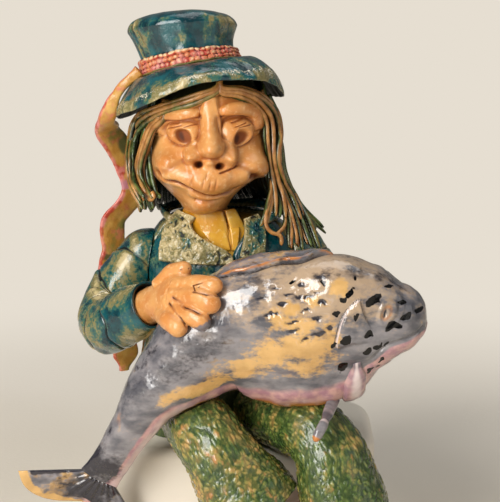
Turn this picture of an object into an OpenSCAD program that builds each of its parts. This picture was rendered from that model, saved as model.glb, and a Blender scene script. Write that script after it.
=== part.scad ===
// Seated water sprite holding a big fish, hand-built from separate clay pieces
// that are luted together with slip. Millimetres, +Z up, the figure faces -Y.
// The origin is the middle of the flat seat: the seat rests on a shelf and the
// legs hang over the shelf's edge.

/* [Torso] */
// Width of the torso at the chest
torso_w = 74; // [70:1:80]
// Depth of the torso at the chest
torso_d = 54; // [50:1:58]
// Height of the base of the neck above the seat
torso_h = 121; // [118:1:125]
// Height of the trouser seat under the torso
seat_h = 36; // [34:1:38]
// Wall of the hollow torso
torso_wall = 9; // [7:0.5:11]
// Radius of the firing vent in the seat
vent_r = 5; // [3:0.5:7]

/* [Clothes] */
// Thickness of the coat slabs
coat_t = 3.4; // [2.6:0.1:4]
// Thickness of the shirt slab
shirt_t = 1.6; // [1.2:0.1:2]
// Thickness of the lapels
lapel_t = 2.6; // [2:0.1:3.2]
// Height of the rolled coat collar
collar_h = 6; // [4:0.5:8]

/* [Head] */
// Width of the head at the cheeks
head_w = 65; // [61:1:69]
// Depth of the head from face to nape
head_d = 64; // [60:1:68]
// Height of the head from jaw to hat
head_h = 75; // [72:1:79]
// Height of the neck between coat and jaw
neck_h = 6; // [5:0.5:8]
// Radius of the neck
neck_r = 11.5; // [10:0.5:12.5]
// Wall of the hollow head
head_wall = 10; // [8:0.5:12]
// How far the nose stands out
nose_h = 11; // [8:0.5:13]
// How far the eyeballs stand out
eye_h = 4; // [3:0.25:5]
// Thickness of the lips
lip_h = 2.4; // [1.6:0.2:3.2]

/* [Hair] */
// Diameter of one clay strand
strand_d = 3; // [2.4:0.1:3.2]
// Strands in each side lock
lock_strands = 7; // [6:1:8]
// Strands in each half of the fringe
fringe_strands = 3; // [2:1:3]
// Strands over the back of the head
back_strands = 10; // [8:1:11]

/* [Hat] */
// Sideways lean of the hat
hat_roll = 12; // [8:1:14]
// Tip of the hat towards the back
hat_pitch = 13; // [9:1:16]
// How far the brim droops at its edge
brim_droop = 13.5; // [11:0.5:15.5]
// Width of the brim
brim_w = 95; // [92:1:99]
// Thickness of the brim
brim_t = 4; // [3.2:0.2:5]
// Diameter of the crown at its base
crown_base_d = 50; // [47:1:53]
// Diameter of the crown at its top rim
crown_top_d = 59; // [56:1:62]
// Height of the crown
crown_h = 32; // [30:1:34]
// How far the crown's rim leans back level from the brim's slope
crown_lean = 3.4; // [2:0.2:4.4]
// Wall of the crown
crown_wall = 4.5; // [3.5:0.5:5.5]
// Width of the hat band
band_w = 7; // [5:0.5:9]
// Thickness of the hat band
band_t = 2; // [1.4:0.2:2.6]
// Width of the hat ribbon
ribbon_w = 15; // [12:1:17]
// Thickness of the hat ribbon
ribbon_t = 3; // [2.4:0.2:3.6]

/* [Arms] */
// Diameter of the sleeve at the shoulder
sleeve_d = 29; // [26:1:31]
// Diameter of the sleeve at the cuff
cuff_d = 31; // [29:1:33]
// Diameter of the wrist
wrist_d = 20; // [18:0.5:21]
// Depth of the socket in each cuff
cuff_depth = 7; // [5:0.5:9]
// Diameter of a finger
finger_d = 11.5; // [10.5:0.5:12]

/* [Legs] */
// Width of a trouser leg
leg_w = 39; // [36:1:41]
// Reach of the knees in front of the middle of the seat
knee_reach = 74; // [72:1:77]
// Height of a thigh above the shelf
thigh_h = 34; // [32:1:36]
// Drop of the trouser hem below the seat
hem_drop = 19; // [17:1:23]
// Drop of the boot soles below the seat
sole_drop = 62; // [58:1:66]
// Length of a boot
boot_l = 62; // [56:1:66]
// Width of a boot
boot_w = 31; // [28:1:34]
// Thickness of a boot cuff
cuff_roll = 7; // [5:0.5:8]

/* [Fish] */
// Length of the fish from its nose to the root of its tail
fish_l = 172; // [166:1:178]
// Height of the fish at its deepest
fish_h = 78; // [74:1:82]
// Thickness of the fish at its deepest
fish_t = 50; // [46:1:54]
// Wall of the hollow fish
fish_wall = 12; // [10:0.5:15]
// Lean of the fish's back towards the viewer
fish_roll = 14; // [8:1:18]
// Thickness of the fins
fin_t = 3; // [2.4:0.2:4]
// Length of the tail lobes
tail_l = 35; // [31:1:39]

/* [Fits] */
// Thickness of the slip in each luted joint
slip = 0.15; // [0.1:0.05:0.3]
// Clear space round a wrist in its cuff
wrist_gap = 0.4; // [0.3:0.1:0.6]

/* [Hidden] */

// Glaze and clay colours
teal = [0.05, 0.32, 0.34];
clay = [0.80, 0.50, 0.27];
yellow = [0.89, 0.66, 0.16];
hair_green = [0.48, 0.45, 0.20];
red = [0.76, 0.30, 0.22];
fish_grey = [0.55, 0.53, 0.58];
fish_pink = [0.80, 0.58, 0.55];
leaf = [0.33, 0.42, 0.16];
boot_red = [0.66, 0.27, 0.13];

// Helpers for vectors and curves
function unit(v) = v / norm(v);
function mix(a, b, f) = a + (b - a) * f;
function bell(x) = exp(-x * x);
function power(x, e) = sign(x) * pow(abs(x), e);
function ease(x) = let (c = max(0, min(1, x))) c * c * (3 - 2 * c);

// Smooth curve through evenly spaced rows, read at place t
function smooth(rows, t) =
    let (last = len(rows) - 1,
         i = max(0, min(floor(t), last - 1)),
         f = t - i,
         b = rows[i],
         c = rows[i + 1],
         a = i > 0 ? rows[i - 1] : 2 * b - c,
         d = i < last - 1 ? rows[i + 2] : 2 * c - b)
    b + ((c - a) * f + (2 * a - 5 * b + 4 * c - d) * f * f
         + (3 * b - a - 3 * c + d) * f * f * f) / 2;

// Point at height h over the surface f at (u, v), where v turns anticlockwise as u rises
function over(f, u, v, h) =
    let (p = f(u, v),
         n = unit(cross(f(u, v + 1) - f(u, v - 1), f(u + 0.02, v) - f(u - 0.02, v))))
    p + h * n;

// Closed solid over rings of points, each end flat, drawn to a tip, or closed as a strip
module over_rings(rings, tip0 = undef, tip1 = undef, strip = false) {
    n = len(rings[0]);
    m = len(rings);
    body = [for (r = rings) each r];
    points = concat(body, is_undef(tip0) ? [] : [tip0], is_undef(tip1) ? [] : [tip1]);
    first = n * m;
    last = is_undef(tip0) ? first : first + 1;
    top = (m - 1) * n;
    walls = [for (i = [0:m - 2], j = [0:n - 1])
        let (k = (j + 1) % n, a = i * n + j, b = i * n + k, c = b + n, d = a + n)
        each [[a, d, c], [a, c, b]]];
    rungs = [for (j = [0:n / 2 - 2]) each [[j, j + 1, n - 2 - j], [j, n - 2 - j, n - 1 - j]]];
    start = strip ? rungs
        : is_undef(tip0) ? [[for (j = [0:n - 1]) j]]
        : [for (j = [0:n - 1]) [first, j, (j + 1) % n]];
    end = strip ? [for (f = rungs) [top + f[2], top + f[1], top + f[0]]]
        : is_undef(tip1) ? [[for (j = [0:n - 1]) top + n - 1 - j]]
        : [for (j = [0:n - 1]) [last, top + (j + 1) % n, top + j]];
    polyhedron(points, concat(walls, start, end), convexity = 6);
}

// Clay slab laid on the surface f: at(s, t) gives its place and thick(s, t) its thickness
module slab(f, at, ns, nt, gap, thick) {
    over_rings([for (i = [0:ns])
        let (s = i / ns)
        concat(
            [for (j = [0:nt])
                let (q = at(s, j / nt)) over(f, q[0], q[1], gap + thick(s, j / nt))],
            [for (j = [nt:-1:0])
                let (q = at(s, j / nt)) over(f, q[0], q[1], gap)])], strip = true);
}

// Thickness of a slab that thins at its edges
function soft_edge(t, share = 0.55) =
    function (x, y) t * (share + (1 - share) * min(1, 12 * min(x, 1 - x)) * min(1, 12 * min(y, 1 - y)));

// Round pad on the surface f, centred at (u, v), with a dome of the height given by dome(s)
module pad(f, u, v, ru, rv, gap, dome, rings = 4, sides = 12) {
    place = function (s, a, h) over(f, u + ru * s * sin(a), v + rv * s * cos(a), gap + h);
    foot = [for (s = [0.5, 1]) [for (j = [0:sides - 1]) place(s, 360 * j / sides, 0)]];
    top = [for (i = [rings:-1:1])
        [for (j = [0:sides - 1]) let (s = i / rings) place(s, 360 * j / sides, dome(s))]];
    over_rings(concat(foot, top), place(0, 0, 0), place(0, 0, dome(0)));
}

// Route from a to c round the corner b with bend radius r: places and headings
function bend(a, b, c, r, n) =
    let (u = unit(a - b), v = unit(c - b),
         half = acos(u * v) / 2,
         reach = r / tan(half),
         middle = b + unit(u + v) * r / sin(half),
         p = b + u * reach - middle,
         side = unit(cross(u, v)),
         across = cross(p, side),
         turn = 180 - 2 * half,
         arc = [for (i = [0:n]) let (w = turn * i / n)
             [middle + p * cos(w) + across * sin(w), unit(-u * cos(w) - p / r * sin(w)), side]])
    concat([[a, -u, side]], arc, [[c, v, side]]);

// Distance along a route up to each of its places, as shares of the whole
function shares(route) =
    let (steps = [for (i = [1:len(route) - 1]) norm(route[i][0] - route[i - 1][0])],
         sums = [for (i = 0, s = 0; i <= len(steps); s = s + (i < len(steps) ? steps[i] : 0), i = i + 1) s])
    [for (s = sums) s / sums[len(sums) - 1]];

// Rings round a route: size(t) gives the half sizes across and within the bend
function limb_rings(route, size, sides) =
    let (t = shares(route))
    [for (i = [0:len(route) - 1])
        let (r = route[i], z = size(t[i]), up = cross(r[1], r[2]))
        [for (j = [0:sides - 1])
            let (a = 360 * j / sides)
            r[0] + r[2] * z[0] * cos(a) + up * z[1] * sin(a)]];

// More places on the straight first and last stretches of a route
function fuller(route, n0, n1) =
    let (m = len(route) - 1, a = route[0], b = route[1], y = route[m - 1], z = route[m])
    concat([for (i = [0:n0]) [mix(a[0], b[0], i / (n0 + 1)), a[1], a[2]]],
        [for (i = [1:m - 1]) route[i]],
        [for (i = [1:n1 + 1]) [mix(y[0], z[0], i / (n1 + 1)), z[1], z[2]]]);

// Place d in front of the line of the knees
function ahead(x, d, z) = [x, -knee_reach - d, z];

// Trouser seat and torso share one surface: place t from the shelf to the neck, angle a
torso_x = torso_w / 2;
torso_y = torso_d / 2;
torso_rows = [
    [0, torso_x + 3, torso_y + 5, 4, 4],
    [seat_h, torso_x + 2, torso_y + 3, 4, 3.4],
    [mix(seat_h, torso_h, 0.4), torso_x - 1, torso_y + 1, 3, 2.6],
    [mix(seat_h, torso_h, 0.72), torso_x, torso_y, 3, 2.4],
    [mix(seat_h, torso_h, 0.9), torso_x - 6, torso_y - 4, 2, 2.2],
    [torso_h, torso_x - 17, torso_y - 9, 0, 2]];
torso_last = len(torso_rows) - 1;
seat_front = torso_y - 3;
vent_y = 14;

function torso_at(t, a) =
    let (r = smooth(torso_rows, t), e = 2 / r[4])
    [r[1] * power(cos(a), e), r[3] + r[2] * power(sin(a), e), r[0]];

function flat_front(p) = [p[0], max(p[1], -seat_front), p[2]];

module trouser_seat() {
    sides = 36;
    steps = [0, 0.5, 1 - slip / seat_h];
    color(leaf) difference() {
        over_rings([for (t = steps) [for (j = [0:sides - 1]) flat_front(torso_at(t, 360 * j / sides))]]);
        translate([0, vent_y, -1]) cylinder(r = vent_r, h = seat_h + 2);
    }
}

neck_x = -8;
neck_y = -2;
cavity_foot = seat_h + torso_wall;
cavity_top = torso_h - torso_wall;
cavity_r = torso_y - torso_wall;

module torso() {
    sides = 32;
    steps = 7;
    color(yellow) difference() {
        over_rings([for (i = [0:steps])
            [for (j = [0:sides - 1]) torso_at(mix(1, torso_last, i / steps), 360 * j / sides)]]);
        translate([0, vent_y, seat_h - 1]) cylinder(r = vent_r, h = cavity_foot - seat_h + 3);
        translate([neck_x, neck_y, cavity_top - 10]) cylinder(r = vent_r, h = torso_h - cavity_top + 12);
        translate([0, torso_rows[1][3], 0]) {
            translate([0, 0, cavity_foot]) cylinder(r = cavity_r, h = cavity_top - cavity_foot - cavity_r);
            translate([0, 0, cavity_top - cavity_r]) sphere(r = cavity_r);
        }
    }
}

// Clothes lie over the torso in layers
lay = slip + 0.45;
coat_from = lay + shirt_t + slip + 0.45;
coat_skin = coat_from + coat_t;
lapel_from = coat_skin + slip + 0.3;
// Places up the torso where the slabs end, and angles where the coat meets
hem_t = 0.08;
front_hem_t = 1.35;
chest_t = 3.25;
yoke_t = 4.62;
seam_right = 200;
seam_left = 340;
seam_gap = 0.4;
opening = 277;
opening_right = 238;
opening_left = 296;

function opened(s, edge) =
    let (t = mix(front_hem_t, yoke_t, s))
    mix(opening, edge, ease((t - chest_t) / (yoke_t - chest_t)));

module shirt_front() {
    at = function (s, t) [mix(front_hem_t, 4.8, s), mix(226, 314, t)];
    color(yellow) slab(function (u, v) torso_at(u, v), at, 6, 8, lay, soft_edge(shirt_t));
}

module shirt_collar() {
    for (side = [[opening - 5, opening_right + 8, opening - 0.5, opening - 2],
                 [opening + 1, opening + 2, opening + 4, opening_left - 5]]) {
        at = function (s, t) [mix(3.6, 4.76, s), mix(mix(side[0], side[1], s), mix(side[2], side[3], s), t)];
        color(yellow) slab(function (u, v) torso_at(u, v), at, 4, 3, coat_from, soft_edge(shirt_t));
    }
}

module coat_back() {
    at = function (s, t) [mix(hem_t, yoke_t, s), mix(seam_left - 360 + seam_gap, seam_right - seam_gap, t)];
    color(teal) slab(function (u, v) torso_at(u, v), at, 8, 16, lay, soft_edge(coat_skin - lay, 0.7));
}

module coat_front_right() {
    at = function (s, t) [mix(front_hem_t, yoke_t, s), mix(seam_right, opened(s, opening_right), t)];
    color(teal) slab(function (u, v) torso_at(u, v), at, 7, 6, coat_from, soft_edge(coat_t, 0.7));
}

module coat_front_left() {
    at = function (s, t) [mix(front_hem_t, yoke_t, s), mix(opened(s, opening_left) + seam_gap, seam_left, t)];
    color(teal) slab(function (u, v) torso_at(u, v), at, 7, 6, coat_from, soft_edge(coat_t, 0.7));
}

module lapel(outer0, outer1, inner0, inner1) {
    at = function (s, t) [mix(3.1, yoke_t - 0.08, s), mix(mix(outer0, outer1, s), mix(inner0, inner1, s), t)];
    color(teal) slab(function (u, v) torso_at(u, v), at, 5, 4, lapel_from, soft_edge(lapel_t));
}

module lapel_right() lapel(222, 212, opening - 2, opening_right - 2);
module lapel_left() lapel(opening + 3, opening_left + 3, 300, 316);

module coat_collar() {
    at = function (s, t) [mix(4.32, 4.58, s), mix(-38, 208, t)];
    roll = function (s, t) collar_h * (0.6 + 0.4 * sin(180 * s)) * (0.5 + 0.5 * ease(10 * min(t, 1 - t)));
    color(teal) slab(function (u, v) torso_at(u, v), at, 3, 16, lapel_from, roll);
}

// Sleeves are bent tubes pressed flat against the coat at the shoulder
elbow_bend = 15.8;
shoulder_gap = 0.8;
coat_clear = coat_skin + shoulder_gap;
shoulder_right = [-34, 2, torso_h - 9];
elbow_right = [-80, -8, 51];
cuff_right = ahead(-37, -24, 82);
shoulder_left = [36, 4, torso_h - 10];
elbow_left = [82, 9, 44];
cuff_left = ahead(70, -54, 66);
torso_levels = [for (i = [0:50]) [smooth(torso_rows, i / 10)[0], i / 10]];

// Moves a point that would lie inside the coat straight out to clear it
function clear_of_coat(p) =
    let (r = smooth(torso_rows, lookup(p[2], torso_levels)),
         x = p[0],
         y = p[1] - r[3],
         wall = coat_clear + 3 * ease((p[2] - torso_h + 26) / 16),
         k = pow(pow(abs(x) / (r[1] + wall), r[4]) + pow(abs(y) / (r[2] + wall), r[4]), 1 / r[4]))
    k < 1 ? [x / k, r[3] + y / k, p[2]] : p;

function sleeve_route(shoulder, elbow, cuff) = fuller(bend(shoulder, elbow, cuff, elbow_bend, 6), 4, 1);

function sleeve_size(t) =
    let (r = mix(sleeve_d, cuff_d, ease(t)) / 2, k = t < 0.14 ? sqrt(1 - pow(1 - t / 0.14, 2) * 0.96) : 1)
    [r * k, r * k];

function cuff_way(shoulder, elbow, cuff) =
    let (route = sleeve_route(shoulder, elbow, cuff)) unit(cuff - route[len(route) - 2][0]);

module sleeve(shoulder, elbow, cuff) {
    sides = 16;
    rings = limb_rings(sleeve_route(shoulder, elbow, cuff), function (t) sleeve_size(t), sides);
    way = cuff_way(shoulder, elbow, cuff);
    color(teal) difference() {
        over_rings([for (r = rings) [for (p = r) clear_of_coat(p)]], clear_of_coat(shoulder));
        along(cuff - way * cuff_depth, way) cylinder(d = wrist_d + 2 * wrist_gap, h = cuff_depth + 2);
    }
}

// Carries a shape from the Z axis onto the line from p along way
module along(p, way) {
    tilt = acos(way[2]);
    turn = atan2(way[1], way[0]);
    translate(p) rotate([0, tilt, turn]) children();
}

module sleeve_right() sleeve(shoulder_right, elbow_right, cuff_right);
module sleeve_left() sleeve(shoulder_left, elbow_left, cuff_left);

// Head: place t from jaw to hat, angle a with the face at 270
head_x = -6.4;
head_y = -5;
jaw_z = torso_h + neck_h;
hat = [-15.5, -1, jaw_z + head_h - 3];
chin_x = -2.5;
head_shares = [0, 0.08, 0.18, 0.30, 0.45, 0.62, 0.80, 1];
head_wide = [0.34, 0.50, 0.71, 0.90, 0.98, 0.95, 0.88, 0.59];
head_deep = [0.52, 0.72, 0.87, 0.96, 1, 1, 0.94, 0.70];
head_rows = [for (i = [0:len(head_shares) - 1])
    [head_shares[i], head_wide[i] * head_w / 2, head_deep[i] * head_d / 2]];
head_last = len(head_rows) - 1;
// Swellings and hollows of the face: share of height, angle, height, spread up, spread round
face = [
    [0.07, 270, 3, 0.07, 26],
    [0.26, 270, 4.5, 0.10, 34],
    [0.36, 226, 4, 0.09, 16],
    [0.33, 316, 4, 0.09, 16],
    [0.77, 243, 2.5, 0.05, 18],
    [0.77, 299, 2.5, 0.05, 18],
    [0.64, 243, -2.5, 0.08, 15],
    [0.64, 299, -2.5, 0.08, 15]];

function face_rise(s, a, i = 0) =
    i == len(face) ? 0
    : face[i][2] * bell((s - face[i][0]) / face[i][3]) * bell((a - face[i][1]) / face[i][4])
        + face_rise(s, a, i + 1);

// Height of the plane under the brim above a place on the ground
function hat_plane(x, y) =
    hat[2] + (x - hat[0]) * tan(hat_roll) - (y - hat[1]) * tan(hat_pitch) / cos(hat_roll);

function head_at(t, a) =
    let (r = smooth(head_rows, t),
         turn = a < 90 ? a + 360 : a,
         rise = face_rise(r[0], turn),
         x = head_x + chin_x * (1 - ease(r[0] / 0.4)) + (r[1] + rise) * cos(a),
         y = head_y + (r[2] + rise) * sin(a),
         level = jaw_z + r[0] * head_h)
    [x, y, level + pow(max(0, r[0]), 4) * (hat_plane(x, y) - slip - jaw_z - head_h)];

function head_t(share) = lookup(share, [for (i = [0:head_last]) [head_shares[i], i]]);

module neck() {
    color(clay) translate([neck_x, neck_y, torso_h + slip]) difference() {
        cylinder(r = neck_r, h = neck_h - 2 * slip);
        translate([0, 0, -1]) cylinder(r = vent_r, h = neck_h + 2);
    }
}

module head() {
    sides = 34;
    steps = 14;
    color(clay) difference() {
        over_rings([for (i = [0:steps])
            [for (j = [0:sides - 1]) head_at(head_last * i / steps, 360 * j / sides)]]);
        translate([neck_x, neck_y, jaw_z - 1]) cylinder(r = vent_r, h = head_h / 2);
        translate([head_x, head_y + 3, jaw_z + head_h * 0.5]) sphere(r = head_w / 2 - head_wall);
        translate([hat[0], hat[1], jaw_z + head_h * 0.6]) cylinder(r = vent_r, h = head_h);
    }
}

// Features laid on the face
eye_share = 0.63;
eye_right_a = 243;
eye_left_a = 299;
eye_rise = 0.47;
eye_reach = 15.5;
feature_gap = slip + 0.25;

function skull(u, v) = head_at(u, v);

module nose() {
    top = 0.82;
    foot = 0.40;
    at = function (s, t)
        [head_t(mix(foot, top, s)), 270.5 + mix(mix(-25, -9.5, ease(s * 1.6)), mix(25, 9, ease(s * 1.6)), t)];
    ridge = function (s, t)
        let (c = 2 * t - 1, tip = bell((s - 0.24) / 0.3), wing = bell((s - 0.12) / 0.12))
        0.5 + nose_h * (1 - c * c) * (0.18 + 0.82 * tip) * min(1, 0.35 + 8 * s)
            + nose_h * 0.35 * wing * (bell((c - 0.72) / 0.22) + bell((c + 0.72) / 0.22));
    color(clay) slab(function (u, v) skull(u, v), at, 7, 10, feature_gap, ridge);
}

module eyeball(a) {
    dome = function (s) 0.6 + eye_h * (1 - s * s) - (s < 0.1 ? eye_h * 0.9 : 0);
    color(clay)
        pad(function (u, v) skull(u, v), head_t(eye_share), a, eye_rise, eye_reach, feature_gap + 0.4, dome);
}

module eyelid(a) {
    at = function (s, t)
        let (b = mix(170, 10, t), k = mix(1.12, 1.55, s))
        [head_t(eye_share) + eye_rise * k * sin(b), a + eye_reach * mix(1.0, 1.12, s) * cos(b)];
    fold = function (s, t) 0.5 + eye_h * 0.85 * sin(180 * mix(0.12, 0.88, t)) * (1 - 0.7 * s);
    color(clay) slab(function (u, v) skull(u, v), at, 3, 10, feature_gap, fold);
}

module eye_right() eyeball(eye_right_a);
module eye_left() eyeball(eye_left_a);
module eyelid_right() eyelid(eye_right_a);
module eyelid_left() eyelid(eye_left_a);

// Height share of the mouth line at the angle a round the face
function mouth(a) = 0.14 + 0.17 * pow((a - 270) / 47, 2);

module lip(from, to, reach) {
    at = function (s, t)
        let (c = 2 * t - 1, a = 270 + reach * c)
        [head_t(mouth(a) + mix(from, to, s) * (1 - 0.6 * c * c)), a];
    roll = function (s, t)
        let (c = 2 * t - 1)
        0.4 + lip_h * sin(180 * mix(0.15, 0.85, s)) * (1 - 0.75 * c * c);
    color(clay) slab(function (u, v) skull(u, v), at, 3, 10, feature_gap, roll);
}

module upper_lip() lip(0.016, 0.10, 47);
module lower_lip() lip(-0.085, -0.02, 38);

// Hair: strands hang over one drape that runs from the shoulders up to the hat
strand_r = strand_d / 2;
drape_rows = [
    [torso_h - 10, torso_x + 10, torso_y + 11, 0, 3, 0],
    [torso_h + 3, torso_x + 2, torso_y + 8, -3, 0, 0],
    [jaw_z + 5, head_w / 2 + 2.5, head_d / 2 + 1.5, head_x, head_y, 0],
    [jaw_z + head_h * 0.25, head_w / 2, head_d / 2, head_x, head_y, 0],
    [jaw_z + head_h * 0.5, head_w / 2, head_d / 2, head_x, head_y, 0.06],
    [jaw_z + head_h * 0.75, head_w / 2 * 0.905, head_d / 2 * 0.978, head_x, head_y, 0.32],
    [jaw_z + head_h * 0.95, head_w / 2 * 0.83, head_d / 2 * 0.89, head_x, head_y, 0.81]];

function drape_at(t, a, lift) =
    let (r = smooth(drape_rows, t),
         x = r[3] + (r[1] + lift) * cos(a),
         y = r[4] + (r[2] + lift) * sin(a))
    [x, y, r[0] + max(0, r[5]) * (hat_plane(x, y) - jaw_z - head_h)];

// One strand along a list of drape places [t, angle, lift]
module strand(guide, steps = 11) {
    sides = 5;
    last = len(guide) - 1;
    way = [for (i = [0:steps])
        let (g = smooth(guide, last * i / steps)) drape_at(g[0], g[1], strand_r + slip + max(0, g[2]))];
    out = [for (i = [0:steps])
        let (g = smooth(guide, last * i / steps)) [cos(g[1]), sin(g[1]), 0]];
    rings = [for (i = [0:steps])
        let (h = unit(way[min(i + 1, steps)] - way[max(i - 1, 0)]),
             n = unit(out[i] - h * (out[i] * h)),
             b = cross(h, n))
        [for (j = [0:sides - 1])
            let (a = 360 * j / sides + 36) way[i] + strand_r * (n * cos(a) + b * sin(a))]];
    color(hair_green) over_rings(rings);
}

// A lock of strands spread evenly from the first guide to the second, every other one lifted
module lock(first, second, n, steps = 8) {
    for (k = [0:n - 1]) {
        f = n > 1 ? k / (n - 1) : 0;
        strand([for (i = [0:len(first) - 1])
            mix(first[i], second[i], f) + [0, 0, i > 0 ? k % 2 * strand_d * 0.25 : 0]], steps);
    }
}

module fringe_right() lock(
    [[5.55, 263, 0.8], [5.4, 247, 0.8], [5.05, 230, 1.2], [4.6, 214, 3], [3.9, 205, 4.6]],
    [[5.88, 254, 0.8], [5.78, 238, 1], [5.5, 220, 2.2], [5.05, 203, 5], [4.3, 193, 7]], fringe_strands, 7);

module fringe_left() lock(
    [[5.55, 277, 0.6], [5.45, 292, 0.6], [5.1, 308, 1], [4.7, 322, 2.6], [4.0, 331, 4]],
    [[5.85, 289, 0.6], [5.75, 304, 0.8], [5.5, 321, 2], [5.1, 338, 5], [4.4, 349, 7]], fringe_strands, 7);

module hair_right() lock(
    [[5.0, 212, 0.8], [4.5, 207, 0.6], [3.9, 205, 0.6], [3.1, 204, 0.8], [1.9, 207, 0.8]],
    [[5.5, 164, 0], [5.0, 163, 1.6], [4.2, 167, 9], [3.2, 172, 12], [1.4, 178, 9]], lock_strands);

module hair_left() lock(
    [[5.0, 330, 0.3], [4.5, 335, 0.3], [3.7, 338, 0.5], [2.7, 335, 2], [1.6, 326, 5], [0.5, 317, 7]],
    [[5.5, 376, 0], [4.9, 378, 1.2], [4.0, 374, 6.5], [2.9, 367, 9], [1.8, 358, 12], [0.7, 348, 17]],
    lock_strands);

module hair_back() lock(
    [[5.5, 152, 0], [4.6, 152, 0], [3.4, 152, 0.5], [2.2, 150, 0.5], [1.3, 148, 4]],
    [[5.5, 28, 0], [4.6, 28, 0], [3.4, 28, 0.5], [2.2, 30, 0.5], [1.3, 32, 4]], back_strands, 7);

// Hat: its own level is the underside of the brim
module on_hat() {
    translate(hat) rotate([-hat_pitch, -hat_roll, 0]) children();
}

function hat_point(p) =
    let (y = p[1] * cos(hat_pitch) + p[2] * sin(hat_pitch),
         z = -p[1] * sin(hat_pitch) + p[2] * cos(hat_pitch))
    hat + [p[0] * cos(hat_roll) - z * sin(hat_roll), y, p[0] * sin(hat_roll) + z * cos(hat_roll)];

crown_r = crown_base_d / 2;
brim_flat = crown_r + 7;
brim_r = brim_w / 2;
brim_side = 2;

function brim_fall(r, a) =
    let (k = max(0, (r - brim_flat) / (brim_r - brim_flat)))
    brim_droop * pow(k, 1.25) * (1 + 0.12 * cos(a) + 0.25 * cos(2 * (a - 20))) + 0.8 * k * sin(5 * a);

function brim_point(r, a, lift) =
    [r * cos(a) + brim_side * max(0, r - brim_flat) / (brim_r - brim_flat), 0.97 * r * sin(a), lift - brim_fall(r, a)];

module hat_brim() {
    sides = 36;
    radii = [brim_flat, mix(brim_flat, brim_r, 0.35), mix(brim_flat, brim_r, 0.7), brim_r];
    low = [for (r = radii) [for (j = [0:sides - 1]) brim_point(r, 360 * j / sides, 0)]];
    high = [for (r = radii) [for (j = [0:sides - 1]) brim_point(r, 360 * j / sides, brim_t)]];
    color(teal) on_hat() difference() {
        over_rings(concat(low, [for (i = [len(radii) - 1:-1:0]) high[i]]));
        translate([0, 0, -1]) cylinder(r = vent_r, h = brim_t + 2);
    }
}

crown_foot = brim_t + slip;
rim_z = crown_h * 0.72;

function crown_side(z) =
    let (k = max(0, z - band_w) / (rim_z - band_w))
    crown_r + (crown_top_d / 2 - crown_r) * pow(k, 1.6);

// Height that the leaning rim adds at x on the crown's level z
function crown_rise(x, z) = -crown_lean * x / crown_r * ease((z - band_w - 1) / (rim_z - band_w));

module hat_crown() {
    sides = 36;
    wall = [for (i = [0:9]) let (z = rim_z * i / 9) [crown_side(z), z]];
    dome = [for (a = [12, 26, 40, 54, 68, 80])
        [crown_top_d / 2 * pow(cos(a), 0.55), rim_z + (crown_h - rim_z) * sin(a)]];
    hollow = crown_r - crown_wall;
    color(teal) on_hat() translate([0, 0, crown_foot]) difference() {
        over_rings([for (r = concat(wall, dome)) [for (j = [0:sides - 1])
            let (a = 360 * j / sides, x = r[0] * cos(a)) [x, r[0] * sin(a), r[1] + crown_rise(x, r[1])]]],
            undef, [0, 0, crown_h]);
        translate([0, 0, -1]) cylinder(r = hollow, h = rim_z - 4, $fn = 48);
    }
}

module hat_band() {
    n = 6;
    inner = [for (i = [0:n]) let (z = mix(0.2, band_w, i / n)) [crown_side(z) + slip, z]];
    outer = [for (i = [n:-1:0])
        let (f = i / n, z = mix(0.2, band_w, f), edge = i == 0 || i == n ? 0.3 : 0)
        [crown_side(z) + slip + band_t + 2 * pow(1 - f, 2) - edge, z]];
    color(red) on_hat() translate([0, 0, crown_foot]) rotate_extrude($fn = 72) polygon(concat(inner, outer));
}

// Ribbon: over the brim at the right, then down behind the shoulder
ribbon_lift = brim_t + ribbon_t / 2 + slip + 1.5;
ribbon_route = [
    hat_point(brim_point(crown_r + band_t + 5, 170, ribbon_lift + 0.4)),
    hat_point(brim_point(mix(brim_flat, brim_r, 0.5), 170, ribbon_lift + 0.4)),
    hat_point(brim_point(brim_r + 1.5, 170, ribbon_lift)),
    [-66, 12, jaw_z + 47],
    [-61, 16, jaw_z + 34],
    [-57, 17, jaw_z + 20],
    [-62, 17, jaw_z + 2],
    [-68, 17, jaw_z - 13],
    [-66, 17, jaw_z - 29],
    [-70, 17, jaw_z - 43],
    [-62, 19, jaw_z - 69],
    [-56, 22, jaw_z - 88],
    [-57, 24, jaw_z - 101]];

module hat_ribbon() {
    steps = 24;
    last = len(ribbon_route) - 1;
    rings = [for (i = [0:steps])
        let (t = last * i / steps,
             p = smooth(ribbon_route, t),
             h = unit(smooth(ribbon_route, t + 0.05) - smooth(ribbon_route, t - 0.05)),
             lie = mix([0.2, 0.98, 0.05], [0.85, 0.52, 0], ease((t - 1.5) / 2.5)),
             wide = unit(lie - h * (lie * h)),
             out = cross(h, wide),
             w = ribbon_w / 2 * (i == steps ? 0.35 : 1),
             k = ribbon_t / 2)
        [p + wide * w, p + wide * w * 0.7 + out * k, p - wide * w * 0.7 + out * k,
         p - wide * w, p - wide * w * 0.7 - out * k, p + wide * w * 0.7 - out * k]];
    color(yellow) over_rings(rings);
}

// Legs: thighs lie on the shelf, shins hang in front of it
thigh_z = thigh_h / 2 + 0.2;
knee_bend = leg_w / 2 + 0.6;
hip_right = [-leg_w / 2, -seat_front - slip, thigh_z];
knee_right = ahead(-7.5, 0, thigh_z);
hem_right = ahead(12.5, 2, -hem_drop);
hip_left = [leg_w / 2 + 0.5, -seat_front - slip, thigh_z];
knee_left = ahead(56, -1, thigh_z);
hem_left = ahead(66, 2, -hem_drop);

function leg_size(t) =
    [leg_w / 2 * mix(0.88, 1, ease(2 * t)), mix(thigh_h / 2, leg_w / 2 * 0.95, ease(1.6 * t))];

// Moves a ring along its heading onto the plane y
function onto_plane(ring, way, y) = [for (p = ring) p + way * (y - p[1]) / way[1]];

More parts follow.
